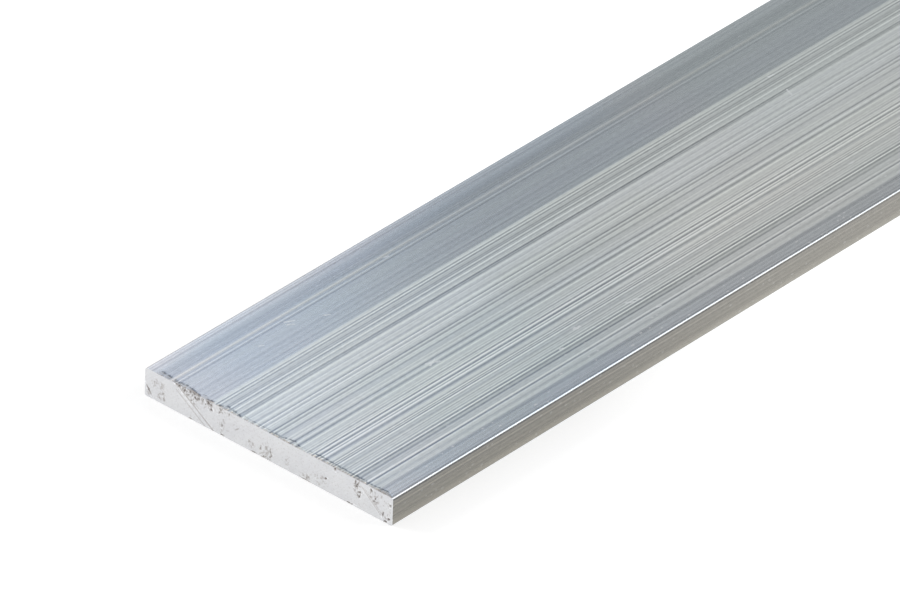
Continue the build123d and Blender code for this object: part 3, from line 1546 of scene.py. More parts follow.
class Effects:
    """The effects that the finishes share, each a node group built once."""

    def __init__(self) -> None:
        """Builds every group."""
        self.metal_grain = self.make_grain()
        self.tint = self.make_tint()
        self.specks = self.make_specks()
        self.scuff = self.make_scuff()
        self.torn = self.make_torn()

    @staticmethod
    def make_grain() -> bpy.types.NodeTree:
        """Makes grain that may be drawn out along an axis, about as much above 0 as below.

        Returns:
            The group.
        """
        graph, given, out = new_effect(
            "metal_grain",
            {"Vector": ORIGIN, "Per Metre": (1000.0, 1000.0, 1000.0), "Detail": 2.0},
            {"Value": 0.0},
        )
        scaled = graph.vector("MULTIPLY", given["Vector"], given["Per Metre"])
        cloud = graph.cloud(scaled, given["Detail"], roughness=0.62)
        spread = graph.ramp(cloud, start=0.25, stop=0.75, low=-1.0, high=1.0, smooth=False)
        graph.feed(out["Value"], spread)
        return graph.tree

    def grain(self, graph: Graph, place: Input, per_metre: Triple, detail: float) -> Socket:
        """Places the grain in a material, with how quickly it changes along each axis."""
        inputs = {"Vector": place, "Per Metre": per_metre, "Detail": detail}
        return graph.place(self.metal_grain, inputs)["Value"]

    @staticmethod
    def make_tint() -> bpy.types.NodeTree:
        """Makes a slow drift between two tints, as handling and thin oxide leave.

        Returns:
            The group.
        """
        graph, given, out = new_effect(
            "oxide_tint",
            {"Vector": ORIGIN, "Per Metre": (60.0, 12.0, 60.0), "Cool": WHITE, "Warm": WHITE},
            {"Color": WHITE},
        )
        scaled = graph.vector("MULTIPLY", given["Vector"], given["Per Metre"])
        share = graph.ramp(graph.cloud(scaled, detail=3.0), start=0.3, stop=0.7)
        graph.feed(out["Color"], graph.mix(share, given["Cool"], given["Warm"]))
        return graph.tree

    @staticmethod
    def make_specks() -> bpy.types.NodeTree:
        """Makes sparse specks: a few cells of a cell pattern each hold one.

        Returns:
            The group.
        """
        graph, given, out = new_effect(
            "stray_specks",
            {"Vector": ORIGIN, "Per Metre": (600.0, 600.0, 600.0), "Share": 0.1, "Size": 0.2},
            {"Mask": 0.0},
        )
        scaled = graph.vector("MULTIPLY", given["Vector"], given["Per Metre"])
        cells = graph.add(
            "ShaderNodeTexVoronoi",
            {"Vector": scaled, "Scale": 1.0},
            feature="F1",
            voronoi_dimensions="3D",
        )
        lot = graph.add("ShaderNodeSeparateColor", {"Color": cells.outputs["Color"]}).outputs
        chosen = graph.math("LESS_THAN", lot["Red"], given["Share"])
        own_size = graph.math("MULTIPLY", given["Size"], lot["Green"])
        off = graph.math("DIVIDE", cells.outputs["Distance"], own_size)
        spot = graph.ramp(off, start=0.7, stop=1.1, low=1.0, high=0.0)
        graph.feed(out["Mask"], graph.math("MULTIPLY", chosen, spot))
        return graph.tree

    @staticmethod
    def make_scuff() -> bpy.types.NodeTree:
        """Makes one scuff between two points, with ragged sides.

        Returns:
            The group.
        """
        graph, given, out = new_effect(
            "scuff_mark",
            {"Vector": ORIGIN, "Start": ORIGIN, "Stop": ORIGIN, "Width": 0.2 * MM},
            {"Mask": 0.0},
        )
        ragged = graph.cloud(given["Vector"], detail=3.0, scale=2200.0)
        run = graph.vector("SUBTRACT", given["Stop"], given["Start"])
        place = graph.vector("SUBTRACT", given["Vector"], given["Start"])
        along = graph.vector("DOT_PRODUCT", place, run)
        whole = graph.vector("DOT_PRODUCT", run, run)
        share = graph.ramp(graph.math("DIVIDE", along, whole), start=0.0, stop=1.0, smooth=False)
        off = graph.vector("DISTANCE", place, graph.vector("SCALE", run, Scale=share))
        sides = graph.math("DIVIDE", off, given["Width"])
        worn = graph.math("ADD", sides, graph.math("MULTIPLY", ragged, 1.6))
        graph.feed(out["Mask"], graph.ramp(worn, start=0.9, stop=1.5, low=1.0, high=0.0))
        return graph.tree

    @staticmethod
    def make_torn() -> bpy.types.NodeTree:
        """Makes torn metal: a hollow is tinted as worn and shaded at its sides, gets painted shade in
        its middle and a painted highlight on its rim.

        Returns:
            The group.
        """
        graph, given, out = new_effect(
            "torn_metal_and_painted_shade",
            {"Vector": ORIGIN, "Hollow": 0.0, "Worn And Shaded": WHITE, "Darkest": WHITE},
            {"Mask": 0.0, "Shade": WHITE},
        )
        rough = graph.cloud(given["Vector"], detail=3.0, scale=6000.0)
        wobble = graph.ramp(rough, start=0.3, stop=0.7, low=-0.22, high=0.22, smooth=False)
        touched = graph.math("GREATER_THAN", given["Hollow"], 0.03)
        depth = graph.math("ADD", given["Hollow"], graph.math("MULTIPLY", wobble, touched))
        graph.feed(out["Mask"], graph.ramp(depth, start=0.05, stop=1.05))
        # Painted highlight on the rims of tears and scratches.
        bright_rim: Colour = (1.22, 1.22, 1.22, 1.0)
        rim = graph.ramp(given["Hollow"], start=-0.3, stop=-0.02, low=1.0, high=0.0)
        sound = graph.mix(rim, WHITE, bright_rim)
        worn = graph.mix(graph.ramp(depth, start=0.04, stop=0.45), sound, given["Worn And Shaded"])
        shade = graph.mix(graph.ramp(depth, start=0.4, stop=0.95), worn, given["Darkest"])
        graph.feed(out["Shade"], shade)
        return graph.tree


# ---- Finishes ----


def new_metal(name: str) -> tuple[bpy.types.Material, Graph, bpy.types.Node]:
    """Starts a metal's material.

    Args:
        name: the material's name.

    Returns:
        The material, its graph and its shader, which is linked to the output.
    """
    material = bpy.data.materials.new(name)
    graph = Graph.emptied(material)
    shader = graph.add("ShaderNodeBsdfPrincipled", {"Metallic": 1.0})
    graph.add("ShaderNodeOutputMaterial", {"Surface": shader.outputs["BSDF"]})
    return material, graph, shader


@dataclass(frozen=True)
class ScuffMark:
    """A short scuff on the upper face, from handling.

    Attributes:
        start: one end, in mm from the left edge and from the near end.
        stop: the other end.
        width: half its width, in mm.
    """

    start: Pair
    stop: Pair
    width: float


TOP_SCUFFS = (
    ScuffMark((6.8, 23.5), (7.5, 24.8), 0.36),
    ScuffMark((7.5, 23.2), (8.2, 24.2), 0.32),
    ScuffMark((8.4, 16.1), (8.8, 16.8), 0.24),
    ScuffMark((9.8, 29.0), (10.3, 29.8), 0.26),
    ScuffMark((5.7, 47.1), (5.9, 47.9), 0.24),
    ScuffMark((21.1, 37.3), (21.3, 38.0), 0.22),
    ScuffMark((29.6, 30.0), (30.6, 32.0), 0.36),
    ScuffMark((30.4, 30.1), (29.7, 31.9), 0.32),
    ScuffMark((39.3, 52.6), (39.5, 53.7), 0.6),
    ScuffMark((40.3, 63.4), (41.0, 64.6), 0.36),
    ScuffMark((40.5, 65.0), (41.2, 66.0), 0.32),
    ScuffMark((41.4, 47.0), (41.6, 47.6), 0.32),
    ScuffMark((44.4, 65.8), (44.6, 66.6), 0.26),
    ScuffMark((14.5, 126.6), (14.7, 127.6), 0.36),
    ScuffMark((18.9, 125.8), (20.4, 125.2), 0.28),
    ScuffMark((39.6, 116.5), (39.7, 117.3), 0.34),
)


@dataclass(frozen=True)
class TintDrift:
    """A stretch of the upper face whose tint and brightness differ a little, partly as painted light
    and shade. Distances are in mm.

    Attributes:
        zone: the kind of finish that it lies in.
        tint: what its red, green and blue are multiplied by.
        comes: the distances from the near end over which it sets in.
        goes: the distances from the near end over which it fades out again.
        across: the distances from the left edge over which it sets in.
        until: the distances from the left edge over which it fades out again.
    """

    zone: Zone
    tint: Triple
    comes: Pair | None = None
    goes: Pair | None = None
    across: Pair | None = None
    until: Pair | None = None


# Each one brightens, darkens or tints a stretch, and they lie over each other. They are partly painted
# light and shade, where the light on the face falls off along the bar away from the near end, and
# partly slow changes of tint.
TOP_DRIFTS = (
    TintDrift(Zone.FIELD, (1.02, 1.015, 1.025), goes=(6.0, 24.0)),
    TintDrift(Zone.FIELD, (0.945, 0.966, 0.98), comes=(24.0, 48.0), goes=(55.0, 85.0)),
    TintDrift(Zone.FIELD, (1.0, 0.987, 0.966), comes=(40.0, 90.0), across=(27.5, 40.0)),
    TintDrift(Zone.FIELD, (0.97, 0.977, 0.97), comes=(55.0, 75.0), until=(18.0, 21.0)),
    TintDrift(
        Zone.FIELD, (1.04, 1.03, 1.015), comes=(70.0, 95.0), across=(22.0, 28.0), until=(37.0, 42.0)
    ),
    TintDrift(Zone.BANDS, (1.095, 1.035, 1.0), goes=(0.0, 14.0)),
    TintDrift(Zone.BANDS, (0.945, 0.993, 1.02), comes=(40.0, 65.0), until=(25.0, 30.0)),
    TintDrift(Zone.BANDS, (1.035, 1.0, 0.985), comes=(95.0, 115.0), until=(25.0, 30.0)),
    TintDrift(Zone.BANDS, (0.982, 1.012, 1.04), goes=(40.0, 90.0), across=(25.0, 30.0)),
    TintDrift(Zone.BANDS, (0.96, 0.965, 0.955), comes=(80.0, 110.0), across=(25.0, 30.0)),
    TintDrift(Zone.BANDS, (1.015, 0.985, 0.955), across=(4.75, 5.2), until=(5.35, 5.8)),
    TintDrift(
        Zone.BANDS, (1.015, 0.995, 0.955), goes=(30.0, 70.0), across=(4.75, 5.2), until=(5.35, 5.8)
    ),
    TintDrift(
        Zone.BANDS, (0.975, 1.0, 1.0), comes=(20.0, 32.0), goes=(46.0, 60.0), across=(3.5, 5.0)
    ),
    TintDrift(Zone.BANDS, (0.968, 1.0, 0.99), comes=(105.0, 120.0), until=(25.0, 30.0)),
    TintDrift(Zone.BANDS, (1.045, 1.0, 0.985), goes=(40.0, 100.0), until=(1.2, 2.5)),
    TintDrift(
        Zone.BANDS, (1.0, 1.0, 1.03), comes=(28.0, 38.0), goes=(50.0, 60.0), across=(45.0, 46.5)
    ),
    TintDrift(
        Zone.FIELD, (0.98, 1.0, 1.0), comes=(14.0, 22.0), goes=(45.0, 58.0), across=(24.0, 28.0)
    ),
    TintDrift(Zone.FIELD, (0.985, 1.0, 1.0), comes=(105.0, 120.0)),
    TintDrift(
        Zone.BANDS, (1.09, 1.09, 1.09), comes=(45.0, 75.0), across=(1.1, 1.35), until=(1.5, 1.75)
    ),
    TintDrift(
        Zone.BANDS, (1.07, 1.07, 1.07), comes=(60.0, 110.0), across=(4.95, 5.15), until=(5.35, 5.55)
    ),
    TintDrift(
        Zone.BANDS, (1.06, 1.06, 1.06), comes=(60.0, 80.0), across=(4.1, 4.35), until=(4.7, 4.9)
    ),
    TintDrift(
        Zone.BANDS, (0.985, 0.997, 1.025), comes=(30.0, 42.0), goes=(90.0, 110.0), until=(3.0, 4.0)
    ),
    TintDrift(
        Zone.BANDS,
        (1.04, 1.04, 1.045),
        comes=(36.0, 44.0),
        goes=(58.0, 70.0),
        across=(2.9, 3.2),
        until=(3.9, 4.4),
    ),
    TintDrift(
        Zone.FIELD,
        (0.972, 0.972, 0.955),
        comes=(50.0, 58.0),
        goes=(85.0, 95.0),
        across=(19.5, 22.0),
        until=(27.0, 30.0),
    ),
    TintDrift(
        Zone.FIELD,
        (1.03, 1.03, 1.03),
        comes=(38.0, 43.0),
        goes=(48.0, 54.0),
        across=(15.0, 17.0),
        until=(23.0, 25.0),
    ),
    # The last two are painted shade on the left rounded edge, deeper further from the near end.
    TintDrift(Zone.BANDS, (0.82, 0.82, 0.84), until=(0.2, 0.45)),
    TintDrift(Zone.BANDS, (0.66, 0.65, 0.67), comes=(10.0, 70.0), until=(0.15, 0.5)),
)


@dataclass(frozen=True)
class SkinSockets:
    """What the colour, the roughness and the bump of the mill skin all read.

    Attributes:
        graph, effects: the material's graph, and the shared node groups.
        place, x, y: the place on the object, across the bar and along it.
        in_field, on_shaded_flank: 1 in the scored field, and 1 on the narrow sides, whose colour is
            darkened as painted shade.
        hairs, draw: the fine and the long drawn-out grain.
        specks, scuffs: 1 on the stray specks, and 1 on the scuffs.
        torn: the torn metal's Mask and Shade, which paints shade in hollows and highlights on rims.
    """

    graph: Graph
    effects: Effects
    place: Socket
    x: Socket
    y: Socket
    in_field: Socket
    on_shaded_flank: Socket
    hairs: Socket
    draw: Socket
    specks: Socket
    scuffs: Socket
    torn: bpy.types.NodeOutputs


@dataclass(frozen=True)
class MillSkin:
    """The extruded skin of the long faces: drawn lines over bands of two smoothnesses.

    Attributes:
        sizes: the bar's sizes.
        band, scored, shaded_flank: the colours of the smooth bands, the field and the narrow sides,
            the last darkened as painted shade.
        worn, darkest, crease: the tints of pushed metal, worn and partly painted shade, the painted
            shade in tears, and the painted shade in the crease behind.
        crease_shade_at: the levels of the crease's painted shade at which its tint sets in and is
            full.
        cool, warm: the two ends of the slow drift of tint.
        speck, scuff: the colours of the stray specks and of the scuffs.
        speck_cover, scuff_cover: how far each hides the skin.
        speck_share, speck_size: the share of cells with a speck, and the largest, in cells.
        speck_band: where specks grow common, from and to, in widths from the middle.
        few_specks: how much of a speck shows elsewhere.
        band_roughness, scored_roughness: of the smooth bands and of the field.
        hair_roughness, scuff_roughness, torn_roughness: how much each adds to that.
        line_contrast: how much a line of full tone changes the colour.
        blue_contrast, far_blue_contrast: how much less it changes the blue, near and far.
        blue_fades: where the one becomes the other, from and to, from the near end.
        red_share: how much more it changes the red, as a share of that.
        line_fading: how much a line's own strength varies along it.
        far_contrast: the lines' strength away from the near end, as a share.
        contrast_fades: where they come down to that, from and to, from the near end.
        grain_contrast, fleck_contrast: how much the grain and the flecks change the colour.
        hair_share: how strong the fine grain is beside the long one.
        band_grain: how much of both shows on the smooth bands, as a share.
        anisotropy: of the reflection, because the lines spread it crosswise.
        field_start, field_stop: the field's sides, from the left edge, and how soft each is.
        flank_shade_from: how far inside the width the narrow sides' painted shade sets in, from and
            to.
        bump_strength, bump_depth: how much of the fine relief shows, and what 1 stands for.
        hair_height, scuff_height, speck_height: the heights of each, beside the long grain.
        hairs, flecks, fading, draw: how quickly each grain changes per metre, by axis.
        tints, cells: the same of the drift of tint, and of the cells of the specks.
    """

    sizes: BarSizes
    # The smooth bands' colour is darker than the field's partly as painted shade: they mirror a
    # narrower, darker part of the sky.
    band: Colour = (0.518, 0.545, 0.568, 1.0)
    scored: Colour = (0.69, 0.72, 0.72, 1.0)
    shaded_flank: Colour = (0.275, 0.266, 0.242, 1.0)
    worn: Colour = (0.87, 0.78, 0.715, 1.0)
    darkest: Colour = (0.38, 0.35, 0.33, 1.0)
    crease: Colour = (0.37, 0.4, 0.445, 1.0)
    crease_shade_at: Pair = (0.02, 0.9)
    cool: Colour = (0.996, 0.992, 1.004, 1.0)
    warm: Colour = (1.002, 1.005, 0.994, 1.0)
    speck: Colour = (0.85, 0.86, 0.87, 1.0)
    scuff: Colour = (0.9, 0.92, 0.93, 1.0)
    speck_cover: float = 0.6
    scuff_cover: float = 0.7
    speck_share: float = 0.3
    speck_size: float = 0.32
    speck_band: Pair = (0.3, 0.45)
    few_specks: float = 0.2
    band_roughness: float = 0.28
    scored_roughness: float = 0.38
    hair_roughness: float = 0.03
    scuff_roughness: float = 0.15
    torn_roughness: float = 0.2
    line_contrast: float = 0.45
    blue_contrast: float = 0.065
    far_blue_contrast: float = 0.025
    blue_fades: Pair = (0.03, 0.08)
    red_share: float = 0.4
    line_fading: float = 0.4
    far_contrast: float = 0.66
    contrast_fades: Pair = (0.07, 0.14)
    grain_contrast: float = 0.13
    fleck_contrast: float = 0.09
    hair_share: float = 0.6
    band_grain: float = 0.35
    anisotropy: float = 0.55
    field_start: Pair = (13.6 * MM, 0.2 * MM)
    field_stop: Pair = (46.8 * MM, 0.5 * MM)
    flank_shade_from: Pair = (0.15 * MM, 0.04 * MM)
    bump_strength: float = 0.6
    bump_depth: float = 0.002 * MM
    hair_height: float = 0.4
    scuff_height: float = -2.0
    speck_height: float = 1.5
    hairs: Triple = (3600.0, 45.0, 3600.0)
    flecks: Triple = (3200.0, 900.0, 3200.0)
    fading: Triple = (1300.0, 14.0, 1300.0)
    draw: Triple = (900.0, 1.2, 900.0)
    tints: Triple = (280.0, 5.0, 280.0)
    cells: Triple = (1400.0, 900.0, 1400.0)

    def scuff_mask(self, graph: Graph, effects: Effects, place: Socket) -> Socket:
        """Gives 1 on all the scuffs of the upper face.

        Args:
            graph: the material's graph.
            effects: the shared node groups.
            place: the place on the object.

        Returns:
            The mask's socket.
        """
        corner = Vector((-0.5 * self.sizes.width, -0.5 * self.sizes.length, self.sizes.thickness))
        mask: Input = 0.0
        for scuff in TOP_SCUFFS:
            start, stop = (corner + Vector((*end, 0.0)) * MM for end in (scuff.start, scuff.stop))
            inputs = {"Vector": place, "Start": start, "Stop": stop, "Width": scuff.width * MM}
            mask = graph.math("MAXIMUM", mask, graph.place(effects.scuff, inputs)["Mask"])
        return mask

    def sockets(self, graph: Graph, effects: Effects) -> SkinSockets:
        """Makes what the colour, the roughness and the bump all read.

        Args:
            graph: the material's graph.
            effects: the shared node groups.

        Returns:
            The sockets.
        """
        place = graph.object_place()
        axes, half = graph.axes(place), 0.5 * self.sizes.width
        (start, start_edge), (stop, stop_edge) = self.field_start, self.field_stop
        left, right = start - half, stop - half
        enter = graph.ramp(axes["X"], left - start_edge, left + start_edge)
        leave = graph.ramp(axes["X"], right - stop_edge, right + stop_edge, low=1.0, high=0.0)
        start, stop = (half - inside for inside in self.flank_shade_from)
        shaded_flank = graph.ramp(graph.math("ABSOLUTE", axes["X"]), start, stop)

        # Specks are common on the right-hand band only.
        inputs = {"Per Metre": self.cells, "Share": self.speck_share, "Size": self.speck_size}
        specks = graph.place(effects.specks, {"Vector": place, **inputs})["Mask"]
        start, stop = (share * self.sizes.width for share in self.speck_band)
        on_band = graph.ramp(axes["X"], start, stop)
        on_band = graph.math("MULTIPLY", on_band, graph.math("SUBTRACT", 1.0, shaded_flank))
        common = graph.math("MULTIPLY_ADD", on_band, 1.0 - self.few_specks, self.few_specks)
        inputs = {"Hollow": graph.attribute(HOLLOW), "Worn And Shaded": self.worn, "Darkest": self.darkest}
        return SkinSockets(
            graph=graph,
            effects=effects,
            place=place,
            x=axes["X"],
            y=axes["Y"],
            in_field=graph.math("MULTIPLY", enter, leave),
            on_shaded_flank=shaded_flank,
            hairs=effects.grain(graph, place, self.hairs, detail=3.0),
            draw=effects.grain(graph, place, self.draw, detail=4.0),
            specks=graph.math("MULTIPLY", specks, common),
            scuffs=self.scuff_mask(graph, effects, place),
            torn=graph.place(effects.torn, {"Vector": place, **inputs}),
        )

    def drift(self, skin: SkinSockets) -> Input:
        """Gives the slow drift of the upper face's tint, and its painted light and shade, along it and
        across it.

        Args:
            skin: the skin's sockets.

        Returns:
            The tint, to multiply by.
        """
        graph = skin.graph
        left, near = -0.5 * self.sizes.width, -0.5 * self.sizes.length
        bands = graph.math("SUBTRACT", 1.0, skin.in_field)
        tint: Input = WHITE
        for drift in TOP_DRIFTS:
            share = skin.in_field if drift.zone is Zone.FIELD else bands
            for axis, edge, span, low in (
                (skin.y, near, drift.comes, 0.0),
                (skin.y, near, drift.goes, 1.0),
                (skin.x, left, drift.across, 0.0),
                (skin.x, left, drift.until, 1.0),
            ):
                if span:
                    start, stop = (edge + distance * MM for distance in span)
                    part = graph.ramp(axis, start, stop, low, 1.0 - low)
                    share = graph.math("MULTIPLY", share, part)
            tint = graph.tinted(tint, graph.mix(share, WHITE, (*drift.tint, 1.0)))
        return tint

    def levels(self, skin: SkinSockets) -> Socket:
        """Gives how bright the drawn lines and the grain make each place.

        The lines change the red more than the green, and the blue less.

        Args:
            skin: the skin's sockets.

        Returns:
            The level of each channel, to multiply by, as a colour.
        """
        graph, effects, place = skin.graph, skin.effects, skin.place
        near = -0.5 * self.sizes.length
        fading = effects.grain(graph, place, self.fading, detail=2.0)
        strength = graph.math("MULTIPLY_ADD", fading, self.line_fading, 1.0)
        start, stop = (near + distance for distance in self.contrast_fades)
        kept = graph.ramp(skin.y, start, stop, low=1.0, high=self.far_contrast)
        tone = graph.math("MULTIPLY", graph.attribute(LINE_TONE), strength)
        tone = graph.math("MULTIPLY", tone, kept)

        flecks = effects.grain(graph, place, self.flecks, detail=2.0)
        share = graph.ramp(skin.in_field, 0.0, 1.0, low=self.band_grain)
        grain = graph.math("MULTIPLY_ADD", skin.hairs, self.hair_share, skin.draw)
        grain = graph.math("MULTIPLY", grain, graph.math("MULTIPLY", share, self.grain_contrast))
        grain = graph.math("MULTIPLY_ADD", flecks, self.fleck_contrast, grain)

        start, stop = (near + distance for distance in self.blue_fades)
        blueness = graph.ramp(skin.y, start, stop, self.blue_contrast, self.far_blue_contrast)
        channels = []
        for channel_share in (self.red_share, 0.0, -1.0):
            contrast = graph.math("MULTIPLY_ADD", blueness, channel_share, self.line_contrast)
            level = graph.math("MULTIPLY_ADD", tone, contrast, 1.0)
            channels.append(graph.math("ADD", level, grain))
        return graph.colour(*channels)

    def colour(self, skin: SkinSockets) -> Socket:
        """Gives the skin's colour.

        Args:
            skin: the skin's sockets.

        Returns:
            The colour's socket.
        """
        graph = skin.graph
        inputs = {"Per Metre": self.tints, "Cool": self.cool, "Warm": self.warm}
        tint = graph.place(skin.effects.tint, {"Vector": skin.place, **inputs})["Color"]
        colour = graph.mix(skin.in_field, self.band, self.scored)
        colour = graph.tinted(colour, self.drift(skin))
        # Painted shade: the narrow sides get a darker colour, standing in for the darker surround that
        # they mirror.
        colour = graph.mix(skin.on_shaded_flank, colour, self.shaded_flank)
        colour = graph.tinted(colour, tint)
        colour = graph.tinted(colour, self.levels(skin))
        specks = graph.math("MULTIPLY", skin.specks, self.speck_cover)
        colour = graph.mix(specks, colour, self.speck)
        scuffs = graph.math("MULTIPLY", skin.scuffs, self.scuff_cover)
        colour = graph.mix(scuffs, colour, self.scuff)
        # Painted shade in tears and along the cut, and painted highlights on rims.
        colour = graph.tinted(colour, skin.torn["Shade"])
        # Painted shade in the crease behind the metal pushed over a cut.
        crease_shading = graph.ramp(graph.attribute(CREASE_SHADE), *self.crease_shade_at)
        return graph.tinted(colour, graph.mix(crease_shading, WHITE, self.crease))

    def build(self, effects: Effects) -> bpy.types.Material:
        """Makes the material.

        Args:
            effects: the shared node groups.

        Returns:
            The material.
        """
        material, graph, shader = new_metal("mill_skin")
        skin = self.sockets(graph, effects)
        graph.feed(shader.inputs["Base Color"], self.colour(skin))

        roughness = graph.ramp(skin.in_field, 0.0, 1.0, self.band_roughness, self.scored_roughness)
        roughness = graph.math("MULTIPLY_ADD", skin.hairs, self.hair_roughness, roughness)
        roughness = graph.math("MULTIPLY_ADD", skin.scuffs, self.scuff_roughness, roughness)
        roughness = graph.math("MULTIPLY_ADD", skin.torn["Mask"], self.torn_roughness, roughness)
        graph.feed(shader.inputs["Roughness"], roughness)

        across = graph.add("ShaderNodeTangent", direction_type="UV_MAP", uv_map=BAKE_MAP)
        graph.feed(shader.inputs["Anisotropic"], self.anisotropy)
        graph.feed(shader.inputs["Tangent"], across.outputs["Tangent"])

        height = graph.math("MULTIPLY_ADD", skin.hairs, self.hair_height, skin.draw)
        height = graph.math("MULTIPLY_ADD", skin.scuffs, self.scuff_height, height)
        height = graph.math("MULTIPLY_ADD", skin.specks, self.speck_height, height)
        bumpy = graph.bump(height, self.bump_strength, self.bump_depth)
        graph.feed(shader.inputs["Normal"], bumpy)
        return material


@dataclass(frozen=True)
class SawnFace:
    """The matte face that the saw leaves on each end.

    Attributes:
        metal: the colour of the freshly cut metal.
        worn, darkest: its tints where it is a little torn, and in the deepest tears, both partly
            painted shade in the hollows.
        cool, warm: the two ends of its slow drift of tint.
        roughness: of its reflection.
        matte_roughness, torn_roughness: what the fine grain and torn metal add to it.
        lean: how far the saw's fine scores lean from upright, in degrees.
        grain_contrast: how much the fine scores change the colour.
        matte_share: how strong the fine grain is beside them.
        speck_share, speck_size: the share of cells with a speck, and the largest, in cells.
        speck_darkness: how much darker a speck is.
        bump_strength, bump_depth: how much of the fine relief shows, and what 1 stands for.
        scores, matte: how quickly each changes per metre, by axis.
        tints, cells: the same of the drift of tint, and of the cells of the specks.
    """

    metal: Colour = (0.75, 0.755, 0.77, 1.0)
    worn: Colour = (0.8, 0.775, 0.755, 1.0)
    darkest: Colour = (0.36, 0.325, 0.3, 1.0)
    cool: Colour = (0.97, 0.97, 0.975, 1.0)
    warm: Colour = (1.01, 1.01, 1.005, 1.0)
    roughness: float = 0.5
    matte_roughness: float = 0.04
    torn_roughness: float = 0.15
    lean: float = 50.0
    grain_contrast: float = 0.05
    matte_share: float = 0.5
    speck_share: float = 0.1
    speck_size: float = 0.25
    speck_darkness: float = 0.12
    bump_strength: float = 0.7
    bump_depth: float = 0.006 * MM
    scores: Triple = (5000.0, 300.0, 400.0)
    matte: Triple = (9000.0, 9000.0, 9000.0)
    tints: Triple = (350.0, 350.0, 350.0)
    cells: Triple = (1600.0, 1600.0, 1600.0)

    def build(self, effects: Effects) -> bpy.types.Material:
        """Makes the material.

        Args:
            effects: the shared node groups.

        Returns:
            The material.
        """
        material, graph, shader = new_metal("sawn_face")
        place = graph.object_place()
        turn = (0.0, math.radians(-self.lean), 0.0)
        turned = graph.add("ShaderNodeMapping", {"Vector": place, "Rotation": turn})
        scores = effects.grain(graph, turned.outputs["Vector"], self.scores, detail=3.0)
        matte = effects.grain(graph, place, self.matte, detail=3.0)
        inputs = {"Per Metre": self.tints, "Cool": self.cool, "Warm": self.warm}
        tint = graph.place(effects.tint, {"Vector": place, **inputs})["Color"]
        inputs = {"Hollow": graph.attribute(HOLLOW), "Worn And Shaded": self.worn, "Darkest": self.darkest}
        torn = graph.place(effects.torn, {"Vector": place, **inputs})
        inputs = {"Per Metre": self.cells, "Share": self.speck_share, "Size": self.speck_size}
        specks = graph.place(effects.specks, {"Vector": place, **inputs})["Mask"]

        level = graph.math("MULTIPLY_ADD", scores, self.grain_contrast, 1.0)
        level = graph.math("MULTIPLY_ADD", matte, self.matte_share * self.grain_contrast, level)
        level = graph.math("MULTIPLY_ADD", specks, -self.speck_darkness, level)
        colour = graph.tinted(self.metal, tint)
        colour = graph.tinted(colour, graph.colour(level, level, level))
        # Painted shade in tears, and painted highlights on their rims.
        graph.feed(shader.inputs["Base Color"], graph.tinted(colour, torn["Shade"]))

        roughness = graph.math("MULTIPLY_ADD", matte, self.matte_roughness, self.roughness)
        roughness = graph.math("MULTIPLY_ADD", torn["Mask"], self.torn_roughness, roughness)
        graph.feed(shader.inputs["Roughness"], roughness)

        height = graph.math("MULTIPLY_ADD", matte, self.matte_share, scores)
        bumpy = graph.bump(height, self.bump_strength, self.bump_depth)
        graph.feed(shader.inputs["Normal"], bumpy)
        return material


# ---- Studio ----


def facing(aim: Vector, away: Vector, distance: float) -> Matrix:
    """Gives the place and turn of a lamp or camera that faces a point from a distance."""
    turn = away.to_track_quat("Z", "Y").to_matrix().to_4x4()
    return Matrix.Translation(aim + away * distance) @ turn


@dataclass(frozen=True)
class SoftBox:
    """A square lamp.

    Attributes:
        name: its name.
        aim: the point that it faces, in metres.
        towards: the direction from that point to the lamp.
        distance: how far off it is.
        size: its side.
        brightness: the radiance of its face.
        colour: of its light.
    """

    name: str
    aim: Vector
    towards: Vector
    distance: float
    size: float
    brightness: float
    colour: Triple = (1.0, 1.0, 1.0)

    def build(self) -> bpy.types.Object:
        """Makes the lamp's object, facing its point.

        Returns:
            The object.
        """
        light = bpy.data.lights.new(self.name, "AREA")
        light.shape = "SQUARE"
        light.size = self.size
        light.energy = self.brightness * math.pi * self.size**2
        light.color = self.colour
        lamp = bpy.data.objects.new(self.name, light)
        lamp.matrix_world = facing(self.aim, self.towards.normalized(), self.distance)
        lamp.visible_camera = False
        bpy.context.scene.collection.objects.link(lamp)
        return lamp


@dataclass(frozen=True)
class ViewCamera:
    """The camera, set by where it looks and from which side.

    Attributes:
        aim: the point in the middle of its view, in metres.
        azimuth: how far it stands round to the right of the near end, in degrees.
        elevation: its angle above the horizon.
        roll: how far the view is tipped to the right.
        distance: from the point.
        lens: the focal length, in mm.
        sensor: the sensor's width, in mm.
        clip: the nearest and the furthest that it sees.
    """

    aim: Vector
    azimuth: float
    elevation: float
    roll: float
    distance: float
    lens: float
    sensor: float = 36.0
    clip: Pair = (0.05, 50.0)

    def build(self) -> bpy.types.Object:
        """Makes the camera and sets it as the scene's.

        Returns:
            The camera's object.
        """
        around, above = math.radians(self.azimuth), math.radians(self.elevation)
        sideways = math.sin(around) * math.cos(above)
        back = Vector((sideways, -math.cos(around) * math.cos(above), math.sin(above)))
        data = bpy.data.cameras.new("camera")
        data.lens = self.lens
        data.sensor_width = self.sensor
        data.clip_start, data.clip_end = self.clip
        camera = bpy.data.objects.new("camera", data)
        roll = Matrix.Rotation(math.radians(self.roll), 4, "Z")
        camera.matrix_world = facing(self.aim, back, self.distance) @ roll
        bpy.context.scene.collection.objects.link(camera)
        bpy.context.scene.camera = camera
        return camera


